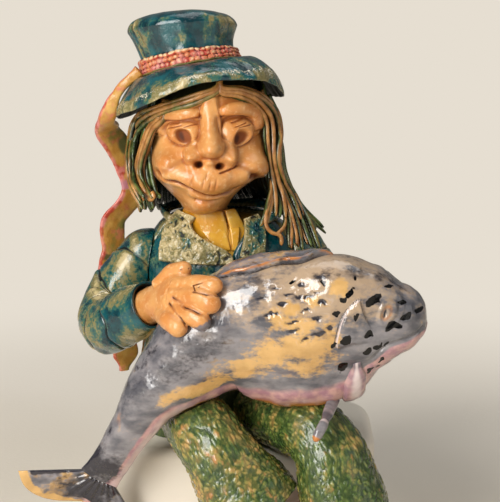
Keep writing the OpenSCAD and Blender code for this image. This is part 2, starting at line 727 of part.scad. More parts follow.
module leg(hip, knee, hem) {
    sides = 20;
    route = fuller(bend(hip, knee, hem, knee_bend, 6), 1, 1);
    rings = limb_rings(route, function (t) leg_size(t), sides);
    start = onto_plane(rings[0], route[0][1], -seat_front - slip);
    color(leaf) over_rings(concat([start],
        [for (i = [1:len(rings) - 1]) [for (p = rings[i]) clear_of_fish(p, 1.1)]]));
}

module leg_right() leg(hip_right, knee_right, hem_right);
module leg_left() leg(hip_left, knee_left, hem_left);

// Boots hang from the hems: an ankle that bends into a foot with a flat sole
boot_top_r = leg_w / 2 - 5;
boot_bend = boot_top_r + 1;

function shin(knee, hem) = unit(hem - knee);

module boot(knee, hem, toe_way) {
    sides = 14;
    way = shin(knee, hem);
    top = hem + way * slip;
    heel = top + way * ((sole_drop - boot_w * 0.42 + top[2]) / -way[2]);
    toe = heel + toe_way * (boot_l - boot_top_r);
    route = fuller(bend(top, heel, toe, boot_bend, 5), 1, 3);
    size = function (t)
        let (end = t > 0.8 ? sqrt(max(0, 1 - pow((t - 0.8) / 0.2, 2))) : 1,
             w = mix(boot_top_r, boot_w / 2, ease(1.4 * t)))
        [max(0.12, end) * w, max(0.12, end) * mix(boot_top_r, boot_w * 0.42, ease(1.6 * t))];
    rings = limb_rings(route, size, sides);
    color(boot_red) over_rings([for (r = rings) [for (p = r) [p[0], p[1], max(p[2], -sole_drop)]]]);
}

module boot_right() boot(knee_right, hem_right, unit([-0.1, -1, -0.02]));
module boot_left() boot(knee_left, hem_left, unit([0.22, -1, -0.02]));

module boot_cuff(knee, hem) {
    way = shin(knee, hem);
    r = cuff_roll / 2;
    color(boot_red) along(hem + way * (r + 2 * slip), way) rotate_extrude($fn = 48)
        translate([boot_top_r + r + slip + 0.4, 0]) scale([1.1, 1]) circle(r = r, $fn = 24);
}

module boot_cuff_right() boot_cuff(knee_right, hem_right);
module boot_cuff_left() boot_cuff(knee_left, hem_left);

// Fish: place u from nose to tail, angle a with the near side at 0 and the back at 90.
// Each row holds the share of its length, how far it lies behind the knees, and the shares of
// its height above the lap, its half height and its half thickness
lap = thigh_h;
fish_gap = 0.7;
fish_middle = 21;
fish_shares = [
    [0.5, 2, 0.585, 0.12, 0.17],
    [0.465, 2, 0.59, 0.215, 0.29],
    [0.401, 2, 0.59, 0.285, 0.38],
    [0.308, 4, 0.56, 0.39, 0.45],
    [0.169, 6, 0.53, 0.50, 0.50],
    [0.006, 8, 0.505, 0.495, 0.50],
    [-0.134, 8, 0.43, 0.42, 0.46],
    [-0.233, 6, 0.26, 0.31, 0.38],
    [-0.326, 4, 0.06, 0.22, 0.29],
    [-0.395, 4, -0.18, 0.155, 0.20],
    [-0.459, 6, -0.42, 0.13, 0.13],
    [-0.5, 8, -0.56, 0.14, 0.10]];
fish_rows = [for (r = fish_shares)
    [fish_middle + r[0] * fish_l, r[1] - knee_reach, lap + r[2] * fish_h, r[3] * fish_h, r[4] * fish_t]];
fish_last = len(fish_rows) - 1;
fish_side = [0, -cos(fish_roll), -sin(fish_roll)];

function fish_way(u) =
    let (d = smooth(fish_rows, u + 0.1) - smooth(fish_rows, u - 0.1)) unit([d[0], d[1], d[2]]);

function fish_at(u, a) =
    let (r = smooth(fish_rows, u),
         h = fish_way(u),
         side = unit(fish_side - h * (fish_side * h)),
         up = cross(h, side))
    [r[0], r[1], r[2]] + side * r[4] * cos(a) + up * r[3] * sin(a);

function flank(u, v) = fish_at(u, v);

// Place along the fish whose cross-section holds the point p
function fish_u(p, lo = 1, hi = 9, n = 7) =
    let (m = (lo + hi) / 2, r = smooth(fish_rows, m))
    n == 0 ? m
    : (p - [r[0], r[1], r[2]]) * fish_way(m) > 0 ? fish_u(p, m, hi, n - 1) : fish_u(p, lo, m, n - 1);

// Moves a point that would lie inside the fish straight out to clear it
function clear_of_fish(p, gap = fish_gap) =
    let (u = fish_u(p),
         r = smooth(fish_rows, u),
         h = fish_way(u),
         side = unit(fish_side - h * (fish_side * h)),
         up = cross(h, side),
         q = p - [r[0], r[1], r[2]],
         x = q * side,
         y = q * up,
         k = norm([x / (r[4] + gap), y / (r[3] + gap)]))
    k < 1 ? p + (side * x + up * y) * (1 / k - 1) : p;

module fish_body() {
    sides = 22;
    steps = 27;
    rings = [for (i = [0:steps]) [for (j = [0:sides - 1]) fish_at(fish_last * i / steps, 360 * j / sides)]];
    nose_tip = fish_rows[0];
    belly = fish_rows[4];
    waist = fish_rows[5];
    core = [belly[0] - waist[0], belly[1] - waist[1], belly[2] - waist[2]];
    r = fish_t / 2 - fish_wall;
    color(fish_grey) difference() {
        over_rings(rings, [nose_tip[0] + 2.5, nose_tip[1], nose_tip[2]]);
        for (k = [belly, waist]) {
            translate([k[0], k[1], k[2]]) sphere(r = r);
        }
        along([waist[0], waist[1], waist[2]], unit(core)) cylinder(r = r * 0.94, h = norm(core));
        translate([waist[0], waist[1], waist[2]]) rotate([-90, 0, 0]) cylinder(r = 2.5, h = fish_t);
    }
}

module fish_tail_fin() {
    end = fish_rows[fish_last];
    h = fish_way(fish_last);
    side = unit(fish_side - h * (fish_side * h));
    up = cross(h, side);
    fan = function (u, v)
        let (t = v / 60, turn = 58 * t, reach = tail_l * (0.5 + 0.5 * pow(abs(t), 1.4)))
        [end[0], end[1], end[2]] + h * (slip + 0.1) + up * end[3] * 0.9 * t
            + u * reach * (h * cos(turn) + up * sin(turn)) + side * 2 * u * u * sin(150 * t);
    at = function (s, t) [s, mix(-60, 60, t)];
    thick = function (s, t) fin_t * (1 - 0.45 * s) * (0.6 + 0.4 * sin(180 * t));
    color(fish_grey) slab(fan, at, 5, 12, -fin_t / 2, thick);
}

module fish_dorsal_fin() {
    at = function (s, t) [mix(3.2, 5.1, s), mix(72, 96, t) + 5 * sin(400 * s)];
    wave = function (s, t)
        0.4 + fin_t * 1.1 * sin(180 * mix(0.1, 0.9, t)) * sqrt(sin(180 * mix(0.06, 0.94, s)));
    color(fish_grey) slab(function (u, v) flank(u, v), at, 14, 3, feature_gap, wave);
}

module gill_cover(low, high) {
    at = function (s, t)
        [mix(2.5, 2.85 + 0.6 * sin(180 * mix(0.15, 0.75, t)), s), mix(low, high, t)];
    plate = function (s, t) (0.5 + fin_t * 0.6 * s) * (0.6 + 0.4 * sin(180 * t));
    color(fish_grey) slab(function (u, v) flank(u, v), at, 4, 8, feature_gap, plate);
}

module fish_gill_cover_front() gill_cover(-34, 52);
module fish_gill_cover_back() gill_cover(128, 214);

module fish_eyes() {
    for (a = [12, 168]) {
        dome = function (s) 0.5 + fin_t * (s > 0.7 ? 0.9 * (1 - s) / 0.3 : 0.55 + 0.35 * (s - 0.2));
        color(fish_grey) pad(function (u, v) flank(u, v), 2.12, a, 0.27, 13, feature_gap, dome, 3, 10);
    }
}

module pectoral_fin(root, end) {
    at = function (s, t) [mix(2.95 + 0.25 * t, 3.3 + 0.3 * t, s), mix(root, end, t)];
    blade = function (s, t) fin_t * (0.5 + 0.5 * sin(180 * mix(0.1, 0.9, s)));
    color(fish_pink) slab(function (u, v) flank(u, v), at, 3, 6, feature_gap, blade);
}

module fish_pectoral_fin_front() pectoral_fin(-88, -38);
module fish_pectoral_fin_back() pectoral_fin(218, 262);

module fish_lower_jaw() {
    at = function (s, t) [mix(0.12, 2.85, s), mix(mix(204, 226, s), mix(336, 314, s), t)];
    thick = soft_edge(fin_t * 0.6, 0.4);
    color(fish_pink) slab(function (u, v) flank(u, v), at, 6, 7, feature_gap + 0.2, thick);
}

module fish_pelvic_fin() {
    root = over(function (u, v) flank(u, v), 3.75, -50, fin_t / 2 + slip + 0.2);
    drop = ahead(52, 24, root[2] - 12);
    tip = ahead(48.5, 25, 15);
    route = fuller(bend(root, drop, tip, 6, 4), 1, 2);
    size = function (t) [mix(5, 2, t), fin_t / 2 * mix(1, 0.7, t)];
    color(fish_grey) over_rings(limb_rings(route, size, 8));
}

// Hands: a palm, four fingers and a thumb worked from one lump, with a wrist in the cuff
finger_r = finger_d / 2;

module finger(knuckle, joint, tip, r) {
    route = fuller(bend(knuckle, joint, tip, r * 1.3, 2), 1, 2);
    size = function (t)
        let (k = t > 0.78 ? sqrt(max(0.02, 1 - pow((t - 0.78) / 0.23, 2))) : 1) [r * k, r * k];
    over_rings([for (ring = limb_rings(route, size, 7)) [for (p = ring) clear_of_fish(p)]]);
}

module palm(wrist, knuckles, wide, half_wide, half_thick) {
    steps = 6;
    way = unit(knuckles - wrist);
    across = unit(wide - way * (wide * way));
    through = cross(way, across);
    over_rings([for (i = [0:steps])
        let (s = i / steps,
             k = s > 0.75 ? sqrt(max(0.05, 1 - pow((s - 0.75) / 0.27, 2))) : 1,
             w = mix(wrist_d / 2, half_wide, ease(1.5 * s)) * k,
             h = mix(wrist_d / 2, half_thick, ease(1.5 * s)) * k)
        [for (j = [0:11])
            let (a = 30 * j)
            clear_of_fish(mix(wrist, knuckles, s) + across * w * cos(a) + through * h * sin(a), 2.2)]]);
}

// Place on the fish where a fingertip rests
function rest(u, a, lift = 0.3) = over(function (x, y) flank(x, y), u, a, finger_r + lift);

module wrist(shoulder, elbow, cuff, reach) {
    way = cuff_way(shoulder, elbow, cuff);
    depth = cuff_depth - wrist_gap;
    along(cuff - way * depth, way) cylinder(d = wrist_d, h = depth + reach);
}

module hand_right() {
    from = cuff_right + cuff_way(shoulder_right, elbow_right, cuff_right) * 2;
    color(clay) union() {
        wrist(shoulder_right, elbow_right, cuff_right, 5);
        palm(from, ahead(-17, 4, 95), [11, 0, 19], 15, 9.5);
        finger(ahead(-23, -1, 98), ahead(-10, 8, 102), rest(5.55, 62, -0.7), finger_r * 0.88);
        finger(ahead(-24, 2, 93), ahead(-10, 13.5, 95.5), rest(5.63, 44), finger_r);
        finger(ahead(-26, 2, 87), ahead(-14, 15.5, 86.5), rest(5.9, 33, -0.5), finger_r * 0.92);
        finger(ahead(-30, -1, 83), ahead(-25, 11.5, 82), rest(6.35, 39, -0.6), finger_r * 0.9);
        finger(ahead(-33, -14, 95), ahead(-25, -10, 104), ahead(-15, -5, 107.5), finger_r * 0.76);
    }
}

module hand_left() {
    way = cuff_way(shoulder_left, elbow_left, cuff_left);
    from = cuff_left + way * 7;
    color(clay) union() {
        wrist(shoulder_left, elbow_left, cuff_left, 11);
        palm(from, ahead(60, -40, 86), [16, 2, -2], 13, 6.5);
        for (i = [0:3]) {
            tip = rest(3.35 + 0.28 * i, 147 + i, 0.6);
            finger(ahead(66 - 6.6 * i, -42.5, 81), ahead(64 - 7.4 * i, -40, 95), tip, finger_r * 0.8);
        }
        finger(ahead(68, -45, 77), ahead(74, -41, 86), rest(2.7, 152, 2.6), finger_r * 0.8);
    }
}

trouser_seat();
torso();
neck();
shirt_front();
shirt_collar();
coat_back();
coat_front_right();
coat_front_left();
lapel_right();
lapel_left();
coat_collar();
sleeve_right();
sleeve_left();
hand_right();
hand_left();
head();
nose();
eye_right();
eye_left();
eyelid_right();
eyelid_left();
upper_lip();
lower_lip();
hair_right();
hair_left();
hair_back();
fringe_right();
fringe_left();
hat_brim();
hat_crown();
hat_band();
hat_ribbon();
fish_body();
fish_tail_fin();
fish_dorsal_fin();
fish_gill_cover_front();
fish_gill_cover_back();
fish_eyes();
fish_pectoral_fin_front();
fish_pectoral_fin_back();
fish_pelvic_fin();
fish_lower_jaw();
leg_right();
leg_left();
boot_right();
boot_left();
boot_cuff_right();
boot_cuff_left();
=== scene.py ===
"""Looks of the seated water sprite: a hand-built clay figure in a top hat that holds a big spotted fish.

Lengths are millimetres until a mesh is made, angles are degrees, and the figure faces -Y.
"""

import bpy
import numpy as np
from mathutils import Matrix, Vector


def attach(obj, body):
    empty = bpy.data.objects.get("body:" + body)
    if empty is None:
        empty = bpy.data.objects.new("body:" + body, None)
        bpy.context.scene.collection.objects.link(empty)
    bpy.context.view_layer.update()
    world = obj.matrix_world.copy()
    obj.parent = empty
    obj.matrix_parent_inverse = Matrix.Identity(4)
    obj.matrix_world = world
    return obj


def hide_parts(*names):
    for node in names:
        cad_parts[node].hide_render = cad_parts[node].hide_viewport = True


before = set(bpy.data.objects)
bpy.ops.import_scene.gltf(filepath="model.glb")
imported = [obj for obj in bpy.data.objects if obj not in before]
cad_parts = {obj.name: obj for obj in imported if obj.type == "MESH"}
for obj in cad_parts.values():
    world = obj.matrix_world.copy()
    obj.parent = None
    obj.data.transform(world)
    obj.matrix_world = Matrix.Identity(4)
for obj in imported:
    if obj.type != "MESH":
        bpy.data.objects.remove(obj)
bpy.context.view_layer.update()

MM = 0.001

# Curves and vectors


def mix(a, b, f):
    """The value a share f of the way from a to b."""
    return a + (b - a) * f


def ease(x):
    """A step from 0 to 1 that starts and ends level: 3x^2 - 2x^3."""
    c = np.clip(x, 0, 1)
    return c * c * (3 - 2 * c)


def bell(x):
    """A hump of height 1: e to the minus x squared."""
    return np.exp(-x * x)


def dome(d):
    """The quarter circle over a distance d from 0 to 1."""
    return np.sqrt(np.clip(1 - d * d, 0, 1))


def crown_of(a, b, k):
    """The higher of two heights, with the crease between them filled where they differ by less than k."""
    return np.maximum(a, b) + k / 4 * np.clip(1 - np.abs(a - b) / k, 0, 1) ** 2


def mound(d):
    """A soft mound over a distance d from 0 to 1: one minus d squared, to the power 1.5."""
    return np.clip(1 - d * d, 0, 1) ** 1.5


def power(x, e):
    """A power that keeps the sign of x."""
    return np.sign(x) * np.abs(x) ** e


def cos(a):
    """Cosine of degrees."""
    return np.cos(np.radians(a))


def sin(a):
    """Sine of degrees."""
    return np.sin(np.radians(a))


def unit(v):
    """The vector v at length 1."""
    return v / np.maximum(np.linalg.norm(v, axis=-1, keepdims=True), 1e-9)


def vec(*parts):
    """Points from arrays of x, y and z."""
    return np.stack(np.broadcast_arrays(*parts), -1).astype(float)


def smooth(rows, t):
    """Catmull-Rom curve through evenly spaced rows, read at place t."""
    rows = np.asarray(rows, float)
    t = np.asarray(t, float)
    last = len(rows) - 1
    i = np.clip(np.floor(t).astype(int), 0, last - 1)
    f = (t - i)[..., None]
    b, c = rows[i], rows[i + 1]
    a = np.where((i > 0)[..., None], rows[np.maximum(i - 1, 0)], 2 * b - c)
    d = np.where((i < last - 1)[..., None], rows[np.minimum(i + 2, last)], 2 * c - b)
    return b + ((c - a) * f + (2 * a - 5 * b + 4 * c - d) * f**2 + (3 * b - a - 3 * c + d) * f**3) / 2


def grid(rows, columns):
    """Shares from 0 to 1 along the rows and across the columns of a grid."""
    return np.meshgrid(np.linspace(0, 1, rows), np.linspace(0, 1, columns), indexing="ij")


# Unevenness of hand-worked clay


def lattice(i, j, k, seed):
    """A fixed number from 0 to 1 for each whole-number place, by mixing the bits of its coordinates."""
    h = (i * 374761393 + j * 668265263 + k * 1440662683 + seed * 974634541) & 0xFFFFFFFF
    h = ((h ^ (h >> 13)) * 1274126177) & 0xFFFFFFFF
    return ((h ^ (h >> 16)) & 0xFFFFFF) / 0xFFFFFF


def swell(p, size, seed):
    """Smooth swells between -1 and 1 about one size across: lattice numbers eased over each cell."""
    q = np.asarray(p, float) / size
    c = np.floor(q).astype(np.int64)
    f = ease(q - c)
    total = 0
    for corner in np.ndindex(2, 2, 2):
        share = np.prod(np.where(corner, f, 1 - f), -1)
        total = total + share * lattice(*(c[..., n] + corner[n] for n in range(3)), seed)
    return total * 2 - 1


def lumps(p, size, seed, layers=3):
    """Swells at one size and at each halving of it, each layer half as high."""
    return sum(swell(p, size / 2**n, seed + n) / 2**n for n in range(layers))


def cells(p, size, seed):
    """Cells round jittered lattice points: the distance to the nearest, how much further the second one lies,
    and a shade for each cell."""
    q = np.asarray(p, float) / size
    c = np.floor(q).astype(np.int64)
    first = np.full(q.shape[:-1], 9.0)
    second = first.copy()
    shade = np.zeros_like(first)
    for step in np.ndindex(3, 3, 3):
        k = [c[..., n] + step[n] - 1 for n in range(3)]
        d = np.sqrt(sum((k[n] + lattice(*k, seed + n) - q[..., n]) ** 2 for n in range(3)))
        nearer = d < first
        second = np.where(nearer, first, np.minimum(second, d))
        shade = np.where(nearer, lattice(*k, seed + 7), shade)
        first = np.where(nearer, d, first)
    return first, second - first, shade


def hollows(height, passes):
    """How far each place of a height map lies below the average of its neighbourhood."""
    soft = height
    for _ in range(passes):
        side = np.roll(soft, 1, 1) + np.roll(soft, -1, 1)
        soft = (side + np.concatenate([soft[:1], soft[:-1]]) + np.concatenate([soft[1:], soft[-1:]])) / 4
    return soft - height


def nearest(x, z, route, steps=70):
    """Distance from places on a map to a curve through the points of a route, and the share along it."""
    t = np.linspace(0, len(route) - 1, steps)
    line = smooth(route, t)
    d = np.hypot(x[..., None] - line[:, 0], z[..., None] - line[:, 1])
    k = d.argmin(-1)
    return np.take_along_axis(d, k[..., None], -1)[..., 0], k / (steps - 1)


# Skins


class Skin:
    """A closed surface: points, quads, triangles, and the marks that a finish reads at each point."""

    def __init__(self, points, quads, tris, marks):
        self.points, self.marks = points, marks
        a, b, c, d = (points[quads[:, n]] for n in range(4))
        volume = (a * (np.cross(b, c) + np.cross(c, d))).sum()
        if len(tris):
            a, b, c = (points[tris[:, n]] for n in range(3))
            volume += (a * np.cross(b, c)).sum()
        self.quads, self.tris = (quads, tris) if volume > 0 else (quads[:, ::-1], tris[:, ::-1])


def skin(rings, ends="fan", **marks):
    """Skin over rows of points. Each row closes on itself, and neighbours in it and in the next row share a
    quad. The ends close with a fan round their middle, with rungs across a slab's edge, or as a loop."""
    m, n, _ = rings.shape
    here = np.arange(m * n).reshape(m, n)
    if ends == "loop":
        here = np.concatenate([here, here[:1]])
    right = np.roll(here, -1, 1)
    quads = np.stack([here[:-1], right[:-1], right[1:], here[1:]], -1).reshape(-1, 4)
    points = rings.reshape(-1, 3)
    marks = {k: np.broadcast_to(v, (m, n)).ravel() for k, v in marks.items()}
    tris = np.zeros((0, 3), int)
    if ends == "fan":
        tris = np.concatenate([
            np.stack([np.full(n, m * n), right[0], here[0]], -1),
            np.stack([np.full(n, m * n + 1), here[-1], right[-1]], -1)])
        points = np.concatenate([points, [rings[0].mean(0), rings[-1].mean(0)]])
        marks = {k: np.append(v, [v[:n].mean(), v[-n:].mean()]) for k, v in marks.items()}
    if ends == "rungs":
        j = np.arange(n // 2 - 1)
        rung = np.stack([j + 1, j, n - 1 - j, n - 2 - j], -1)
        quads = np.concatenate([quads, rung, (rung + (m - 1) * n)[:, ::-1]])
    return Skin(points, quads, tris, marks)


def facing(rings):
    """Outward directions of rows of rings: the cross product of the two tangents."""
    n = unit(np.cross(np.roll(rings, -1, 1) - np.roll(rings, 1, 1), np.gradient(rings, axis=0)))
    return n * np.sign((n * (rings - rings.mean(1, keepdims=True))).sum())


def raised(rings, rise):
    """Rings of points moved outward by a rise."""
    return rings + facing(rings) * rise[..., None]


def over(surface, u, v, h):
    """Points at height h over a surface at (u, v), along the cross product of its tangents."""
    n = np.cross(surface(u, v + 1) - surface(u, v - 1), surface(u + 0.02, v) - surface(u - 0.02, v))
    return surface(u, v) + np.asarray(h)[..., None] * unit(n)


def rounded(x, share):
    """Thickness of a slab from 0 to 1 across it: a quarter round over the share next to each edge."""
    return dome(1 - np.minimum(1, np.minimum(x, 1 - x) / share))


def slab(surface, at, thick, gap, rows, columns, edge=0.2, **marks):
    """A clay slab over a surface: at(s, t) gives its place, thick(s, t, points) its height over the gap."""
    s, t = grid(rows, columns)
    u, v = at(s, t)
    low = over(surface, u, v, np.full_like(u, gap))
    body = mix(edge, 1, rounded(s, 5 / rows) * rounded(t, 5 / columns))
    rise = thick(s, t, low)
    high = over(surface, u, v, gap + rise * body)
    values = {"high": rise, "edge": 1 - body, **{k: f(s, t, low) for k, f in marks.items()}}
    both = {k: np.concatenate([np.broadcast_to(v, s.shape), np.broadcast_to(v, s.shape)[:, ::-1]], 1)
            for k, v in values.items()}
    return skin(np.concatenate([high, low[:, ::-1]], 1), "rungs", **both)


def bent(a, b, c, r, t):
    """Path from a to c with its corner b rounded to radius r, read at shares t of its length:
    a straight run, an arc and a straight run, as places, headings and the axis of the bend."""
    a, b, c = (np.asarray(p, float) for p in (a, b, c))
    u, v = unit(a - b), unit(c - b)
    half = np.arccos(u @ v) / 2
    reach = r / np.tan(half)
    axis = unit(np.cross(u, v))
    middle = b + unit(u + v) * r / np.sin(half)
    p = b + u * reach - middle
    runs = np.linalg.norm(a - b) - reach, r * (np.pi - 2 * half), np.linalg.norm(c - b) - reach
    d = np.asarray(t) * sum(runs)
    w = np.clip((d - runs[0]) / r, 0, np.pi - 2 * half)[:, None]
    way = -u * np.cos(w) - p / r * np.sin(w)
    spare = np.minimum(d - runs[0], 0) + np.maximum(d - runs[0] - runs[1], 0)
    place = middle + p * np.cos(w) + np.cross(p, axis) * np.sin(w) + way * spare[:, None]
    return place, way, np.broadcast_to(axis, place.shape)


def mouth(path, ring, inner, back):
    """Rings that turn a tube's end inside: its last ring, shrunk about the path's end and moved along it."""
    inner, back = (np.array(steps)[:, None, None] for steps in (inner, back))
    return path[0][-1] + (ring - path[0][-1]) * inner + path[1][-1] * back


def limb(path, wide, thick, sides):
    """Rings of points round a path, with half sizes along the bend's axis and across it."""
    place, way, axis = path
    a = np.linspace(0, 360, sides, endpoint=False)[:, None]
    wide, thick = (np.broadcast_to(x, len(place))[:, None, None] for x in (wide, thick))
    return place[:, None] + axis[:, None] * wide * cos(a) + np.cross(way, axis)[:, None] * thick * sin(a)


def piece(node, skins, finish, slot, *more_nodes):
    """One mesh object of these skins, which rides on the figure and stands for a node, or for more."""
    skins = skins if isinstance(skins, list) else [skins]
    name = "fired_" + node
    starts = np.cumsum([0] + [len(s.points) for s in skins])
    points = np.concatenate([s.points for s in skins]) * MM
    faces = [f for s, k in zip(skins, starts) for f in (s.quads + k).tolist() + (s.tris + k).tolist()]
    mesh = bpy.data.meshes.new(name)
    mesh.from_pydata(points.tolist(), [], faces)
    mesh.polygons.foreach_set("use_smooth", np.ones(len(faces), bool))
    for mark in sorted({k for s in skins for k in s.marks}):
        values = [s.marks.get(mark, np.zeros(len(s.points))) for s in skins]
        mesh.attributes.new(mark, "FLOAT", "POINT").data.foreach_set(
            "value", np.concatenate(values).astype(np.float32))
    mesh.materials.append(finish.material)
    body = bpy.data.objects.new(name, mesh)
    bpy.context.collection.objects.link(body)
    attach(body, "root")
    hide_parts(node, *more_nodes)
    return body


# Finishes


def tint(code):
    """Linear colour of a hexadecimal screen colour."""
    c = np.array([int(code[i:i + 2], 16) for i in (0, 2, 4)]) / 255
    return (*np.where(c < 0.04045, c / 12.92, ((c + 0.055) / 1.055) ** 2.4), 1)


class Finish:
    """The node tree of one fired finish on a Principled shader."""

    def __init__(self, name, settings):
        self.material = bpy.data.materials.new(name)
        self.material.use_nodes = True
        self.nodes = self.material.node_tree.nodes
        self.shader = next(n for n in self.nodes if n.type == "BSDF_PRINCIPLED")
        self.place = self.nodes.new("ShaderNodeTexCoord").outputs["Object"]
        for label, value in settings.items():
            self.shader.inputs[label].default_value = value

    def put(self, value, socket):
        """Links a node's output to a socket, or sets a plain value on it."""
        if isinstance(value, bpy.types.NodeSocket):
            self.material.node_tree.links.new(value, socket)
        else:
            socket.default_value = value

    def mark(self, name):
        """The mark that a skin carries under this name."""
        node = self.nodes.new("ShaderNodeAttribute")
        node.attribute_name = name
        return node.outputs["Fac"]

    def grain(self, size, detail, seed, stretch=(1, 1, 1)):
        """Cloudy grain from about 0.2 to 0.8, one size across, stretched along the axes."""
        turn = self.nodes.new("ShaderNodeMapping")
        self.put(self.place, turn.inputs["Vector"])
        turn.inputs["Location"].default_value = (seed * 0.37, seed * 0.71, seed * 0.13)
        turn.inputs["Scale"].default_value = [1 / k for k in stretch]
        node = self.nodes.new("ShaderNodeTexNoise")
        self.put(turn.outputs["Vector"], node.inputs["Vector"])
        node.inputs["Scale"].default_value = 1 / (size * MM)
        node.inputs["Detail"].default_value = detail
        return node.outputs["Fac"]

    def do(self, operation, a, b):
        """Arithmetic on two values."""
        node = self.nodes.new("ShaderNodeMath")
        node.operation = operation
        self.put(a, node.inputs[0])
        self.put(b, node.inputs[1])
        return node.outputs[0]

    def add(self, *shares):
        """The sum of values, each given with its weight."""
        total = None
        for value, weight in shares:
            part = self.do("MULTIPLY", value, weight)
            total = part if total is None else self.do("ADD", total, part)
        return total

    def fade(self, value, low, high):
        """A smooth step of a value between two levels."""
        node = self.nodes.new("ShaderNodeMapRange")
        node.interpolation_type = "SMOOTHSTEP"
        self.put(value, node.inputs["Value"])
        node.inputs["From Min"].default_value = low
        node.inputs["From Max"].default_value = high
        return node.outputs["Result"]

    def arrow(self, operation, a, b=(0, 0, 0), scale=1.0):
        """Arithmetic on two directions."""
        node = self.nodes.new("ShaderNodeVectorMath")
        node.operation = operation
        self.put(a, node.inputs[0])
        if operation == "SCALE":
            self.put(scale, node.inputs["Scale"])
        elif operation != "LENGTH":
            self.put(b, node.inputs[1])
        return node.outputs["Value" if operation in ("DOT_PRODUCT", "LENGTH") else "Vector"]

    def along(self, route):
        """Distance in millimetres from the straight runs through the places of a route."""
        near = None
        for a, b in zip(np.array(route) * MM, np.array(route)[1:] * MM):
            off, run = self.arrow("SUBTRACT", self.place, tuple(a)), b - a
            reach = self.arrow("DOT_PRODUCT", off, tuple(run))
            share = self.within(self.do("DIVIDE", reach, float(run @ run)))
            foot = self.arrow("SCALE", tuple(run), scale=share)
            d = self.do("DIVIDE", self.arrow("LENGTH", self.arrow("SUBTRACT", off, foot)), MM)
            near = d if near is None else self.do("MINIMUM", near, d)
        return near

    def within(self, value):
        """A value kept between 0 and 1."""
        return self.do("MAXIMUM", self.do("MINIMUM", value, 1.0), 0.0)

    def paint(self, share, under, top):
        """One colour over another by a share."""
        node = self.nodes.new("ShaderNodeMix")
        node.data_type = "RGBA"
        self.put(share, node.inputs[0])
        self.put(tint(under) if isinstance(under, str) else under, node.inputs[6])
        self.put(tint(top) if isinstance(top, str) else top, node.inputs[7])
        return node.outputs[2]

    def finish(self, colour, height, depth, rough=None, coat=None):
        """Joins the colour, the relief of a height to a depth in millimetres, the roughness and the coat."""
        self.put(colour, self.shader.inputs["Base Color"])
        relief = self.nodes.new("ShaderNodeBump")
        relief.inputs["Distance"].default_value = depth * MM
        self.put(height, relief.inputs["Height"])
        self.put(relief.outputs["Normal"], self.shader.inputs["Normal"])
        if rough is not None:
            self.put(rough, self.shader.inputs["Roughness"])
        if coat is not None:
            self.put(coat, self.shader.inputs["Coat Weight"])
        return self


GLOSS = {"Roughness": 0.18, "Coat Weight": 0.5, "Coat Roughness": 0.05}


def teal_glaze():
    """Deep teal where the glaze pools, breaking through green to sandy olive where it is thin on high places,
    with pale salt-like crumbs on frayed edges, and near-black painted shade in hollows, cracks, inside the
    cuffs and under the brim."""
    f = Finish("teal_glaze", GLOSS)
    pools, streaks, crumbs = f.grain(12, 3, 1), f.grain(5, 4, 6, (1, 1, 2)), f.grain(1.5, 3, 2)
    thin = f.add((f.mark("thin"), 1.0), (pools, 0.5), (streaks, 0.65), (crumbs, 0.5))
    colour = f.paint(f.fade(f.grain(9, 3, 3), 0.35, 0.7), "022f38", "0a5a62")
    colour = f.paint(f.fade(thin, 0.88, 1.02), colour, "3a6455")
    colour = f.paint(f.fade(thin, 1.0, 1.14), colour, "847c50")
    colour = f.paint(f.fade(thin, 1.2, 1.42), colour, "c2b182")
    salt = f.fade(f.add((f.mark("salt"), 1.0), (f.grain(0.9, 2, 7), 1.6)), 1.62, 1.86)
    colour = f.paint(salt, colour, "e6dec6")
    # Painted shade: near black in hollows, cracks, dents, inside the cuffs and under the brim
    deep = f.fade(f.mark("deep"), 0.1, 0.8)
    colour = f.paint(deep, colour, "02090b")
    rough = f.add((f.fade(thin, 0.9, 1.4), 0.25), (deep, 0.5), (salt, 0.2), (1.0, 0.1))
    height = f.add((f.grain(5, 2, 4), 0.8), (f.grain(0.9, 2, 5), 0.25), (salt, 0.5))
    return f.finish(colour, height, 0.75, rough, f.do("SUBTRACT", 0.5, f.do("MULTIPLY", deep, 0.5)))


def skin_clay(name, cracks=(), smear=None):
    """Warm terracotta under a thin clear glaze, with painted shade in the creases, pits and pressed cracks,
    and a smear of fish glaze."""
    f = Finish(name, {"Roughness": 0.36, "Coat Weight": 0.35, "Coat Roughness": 0.12})
    clouds = f.grain(11, 3, 1)
    colour = f.paint(f.fade(clouds, 0.3, 0.7), "d38845", "e2a562")
    colour = f.paint(f.fade(f.grain(2.2, 3, 2), 0.5, 0.8), colour, "ecbc86")
    # Painted shade in the creases and hollows of the face
    colour = f.paint(f.fade(f.mark("deep"), 0.04, 0.7), colour, "98501f")
    colour = f.paint(f.fade(f.mark("deep"), 0.5, 1.0), colour, "522410")
    # Painted shade in the pupils, nostrils and corners of the mouth
    colour = f.paint(f.fade(f.mark("pit"), 0.15, 0.55), colour, "864518")
    colour = f.paint(f.fade(f.mark("pit"), 0.6, 1.0), colour, "47200c")
    colour = f.paint(f.mark("scalp"), colour, "20220d")
    height = f.add((f.grain(1.1, 3, 3), 0.12), (f.grain(5, 2, 4), 0.3))
    # Painted shade along each pressed crack, with a softer halo round it
    for route, half in cracks:
        d = f.along(route)
        colour = f.paint(f.do("MULTIPLY", f.fade(d, half * 2.6, half * 0.6), 0.55), colour, "9a4d20")
        colour = f.paint(f.fade(d, half, half * 0.2), colour, "3c1808")
        height = f.do("SUBTRACT", height, f.fade(d, half * 2.2, 0.0))
    if smear:
        d = f.add((f.along(smear[0]), 1.0), (f.grain(3, 3, 6), 4.0))
        colour = f.paint(f.fade(d, smear[1] + 2.6, smear[1] + 1.2), colour, "7d767c")
    pit = f.fade(f.mark("pit"), 0.1, 0.6)
    rough = f.add((clouds, 0.25), (pit, 0.4), (1.0, 0.2))
    return f.finish(colour, height, 0.7, rough, f.do("SUBTRACT", 0.35, f.do("MULTIPLY", pit, 0.35)))


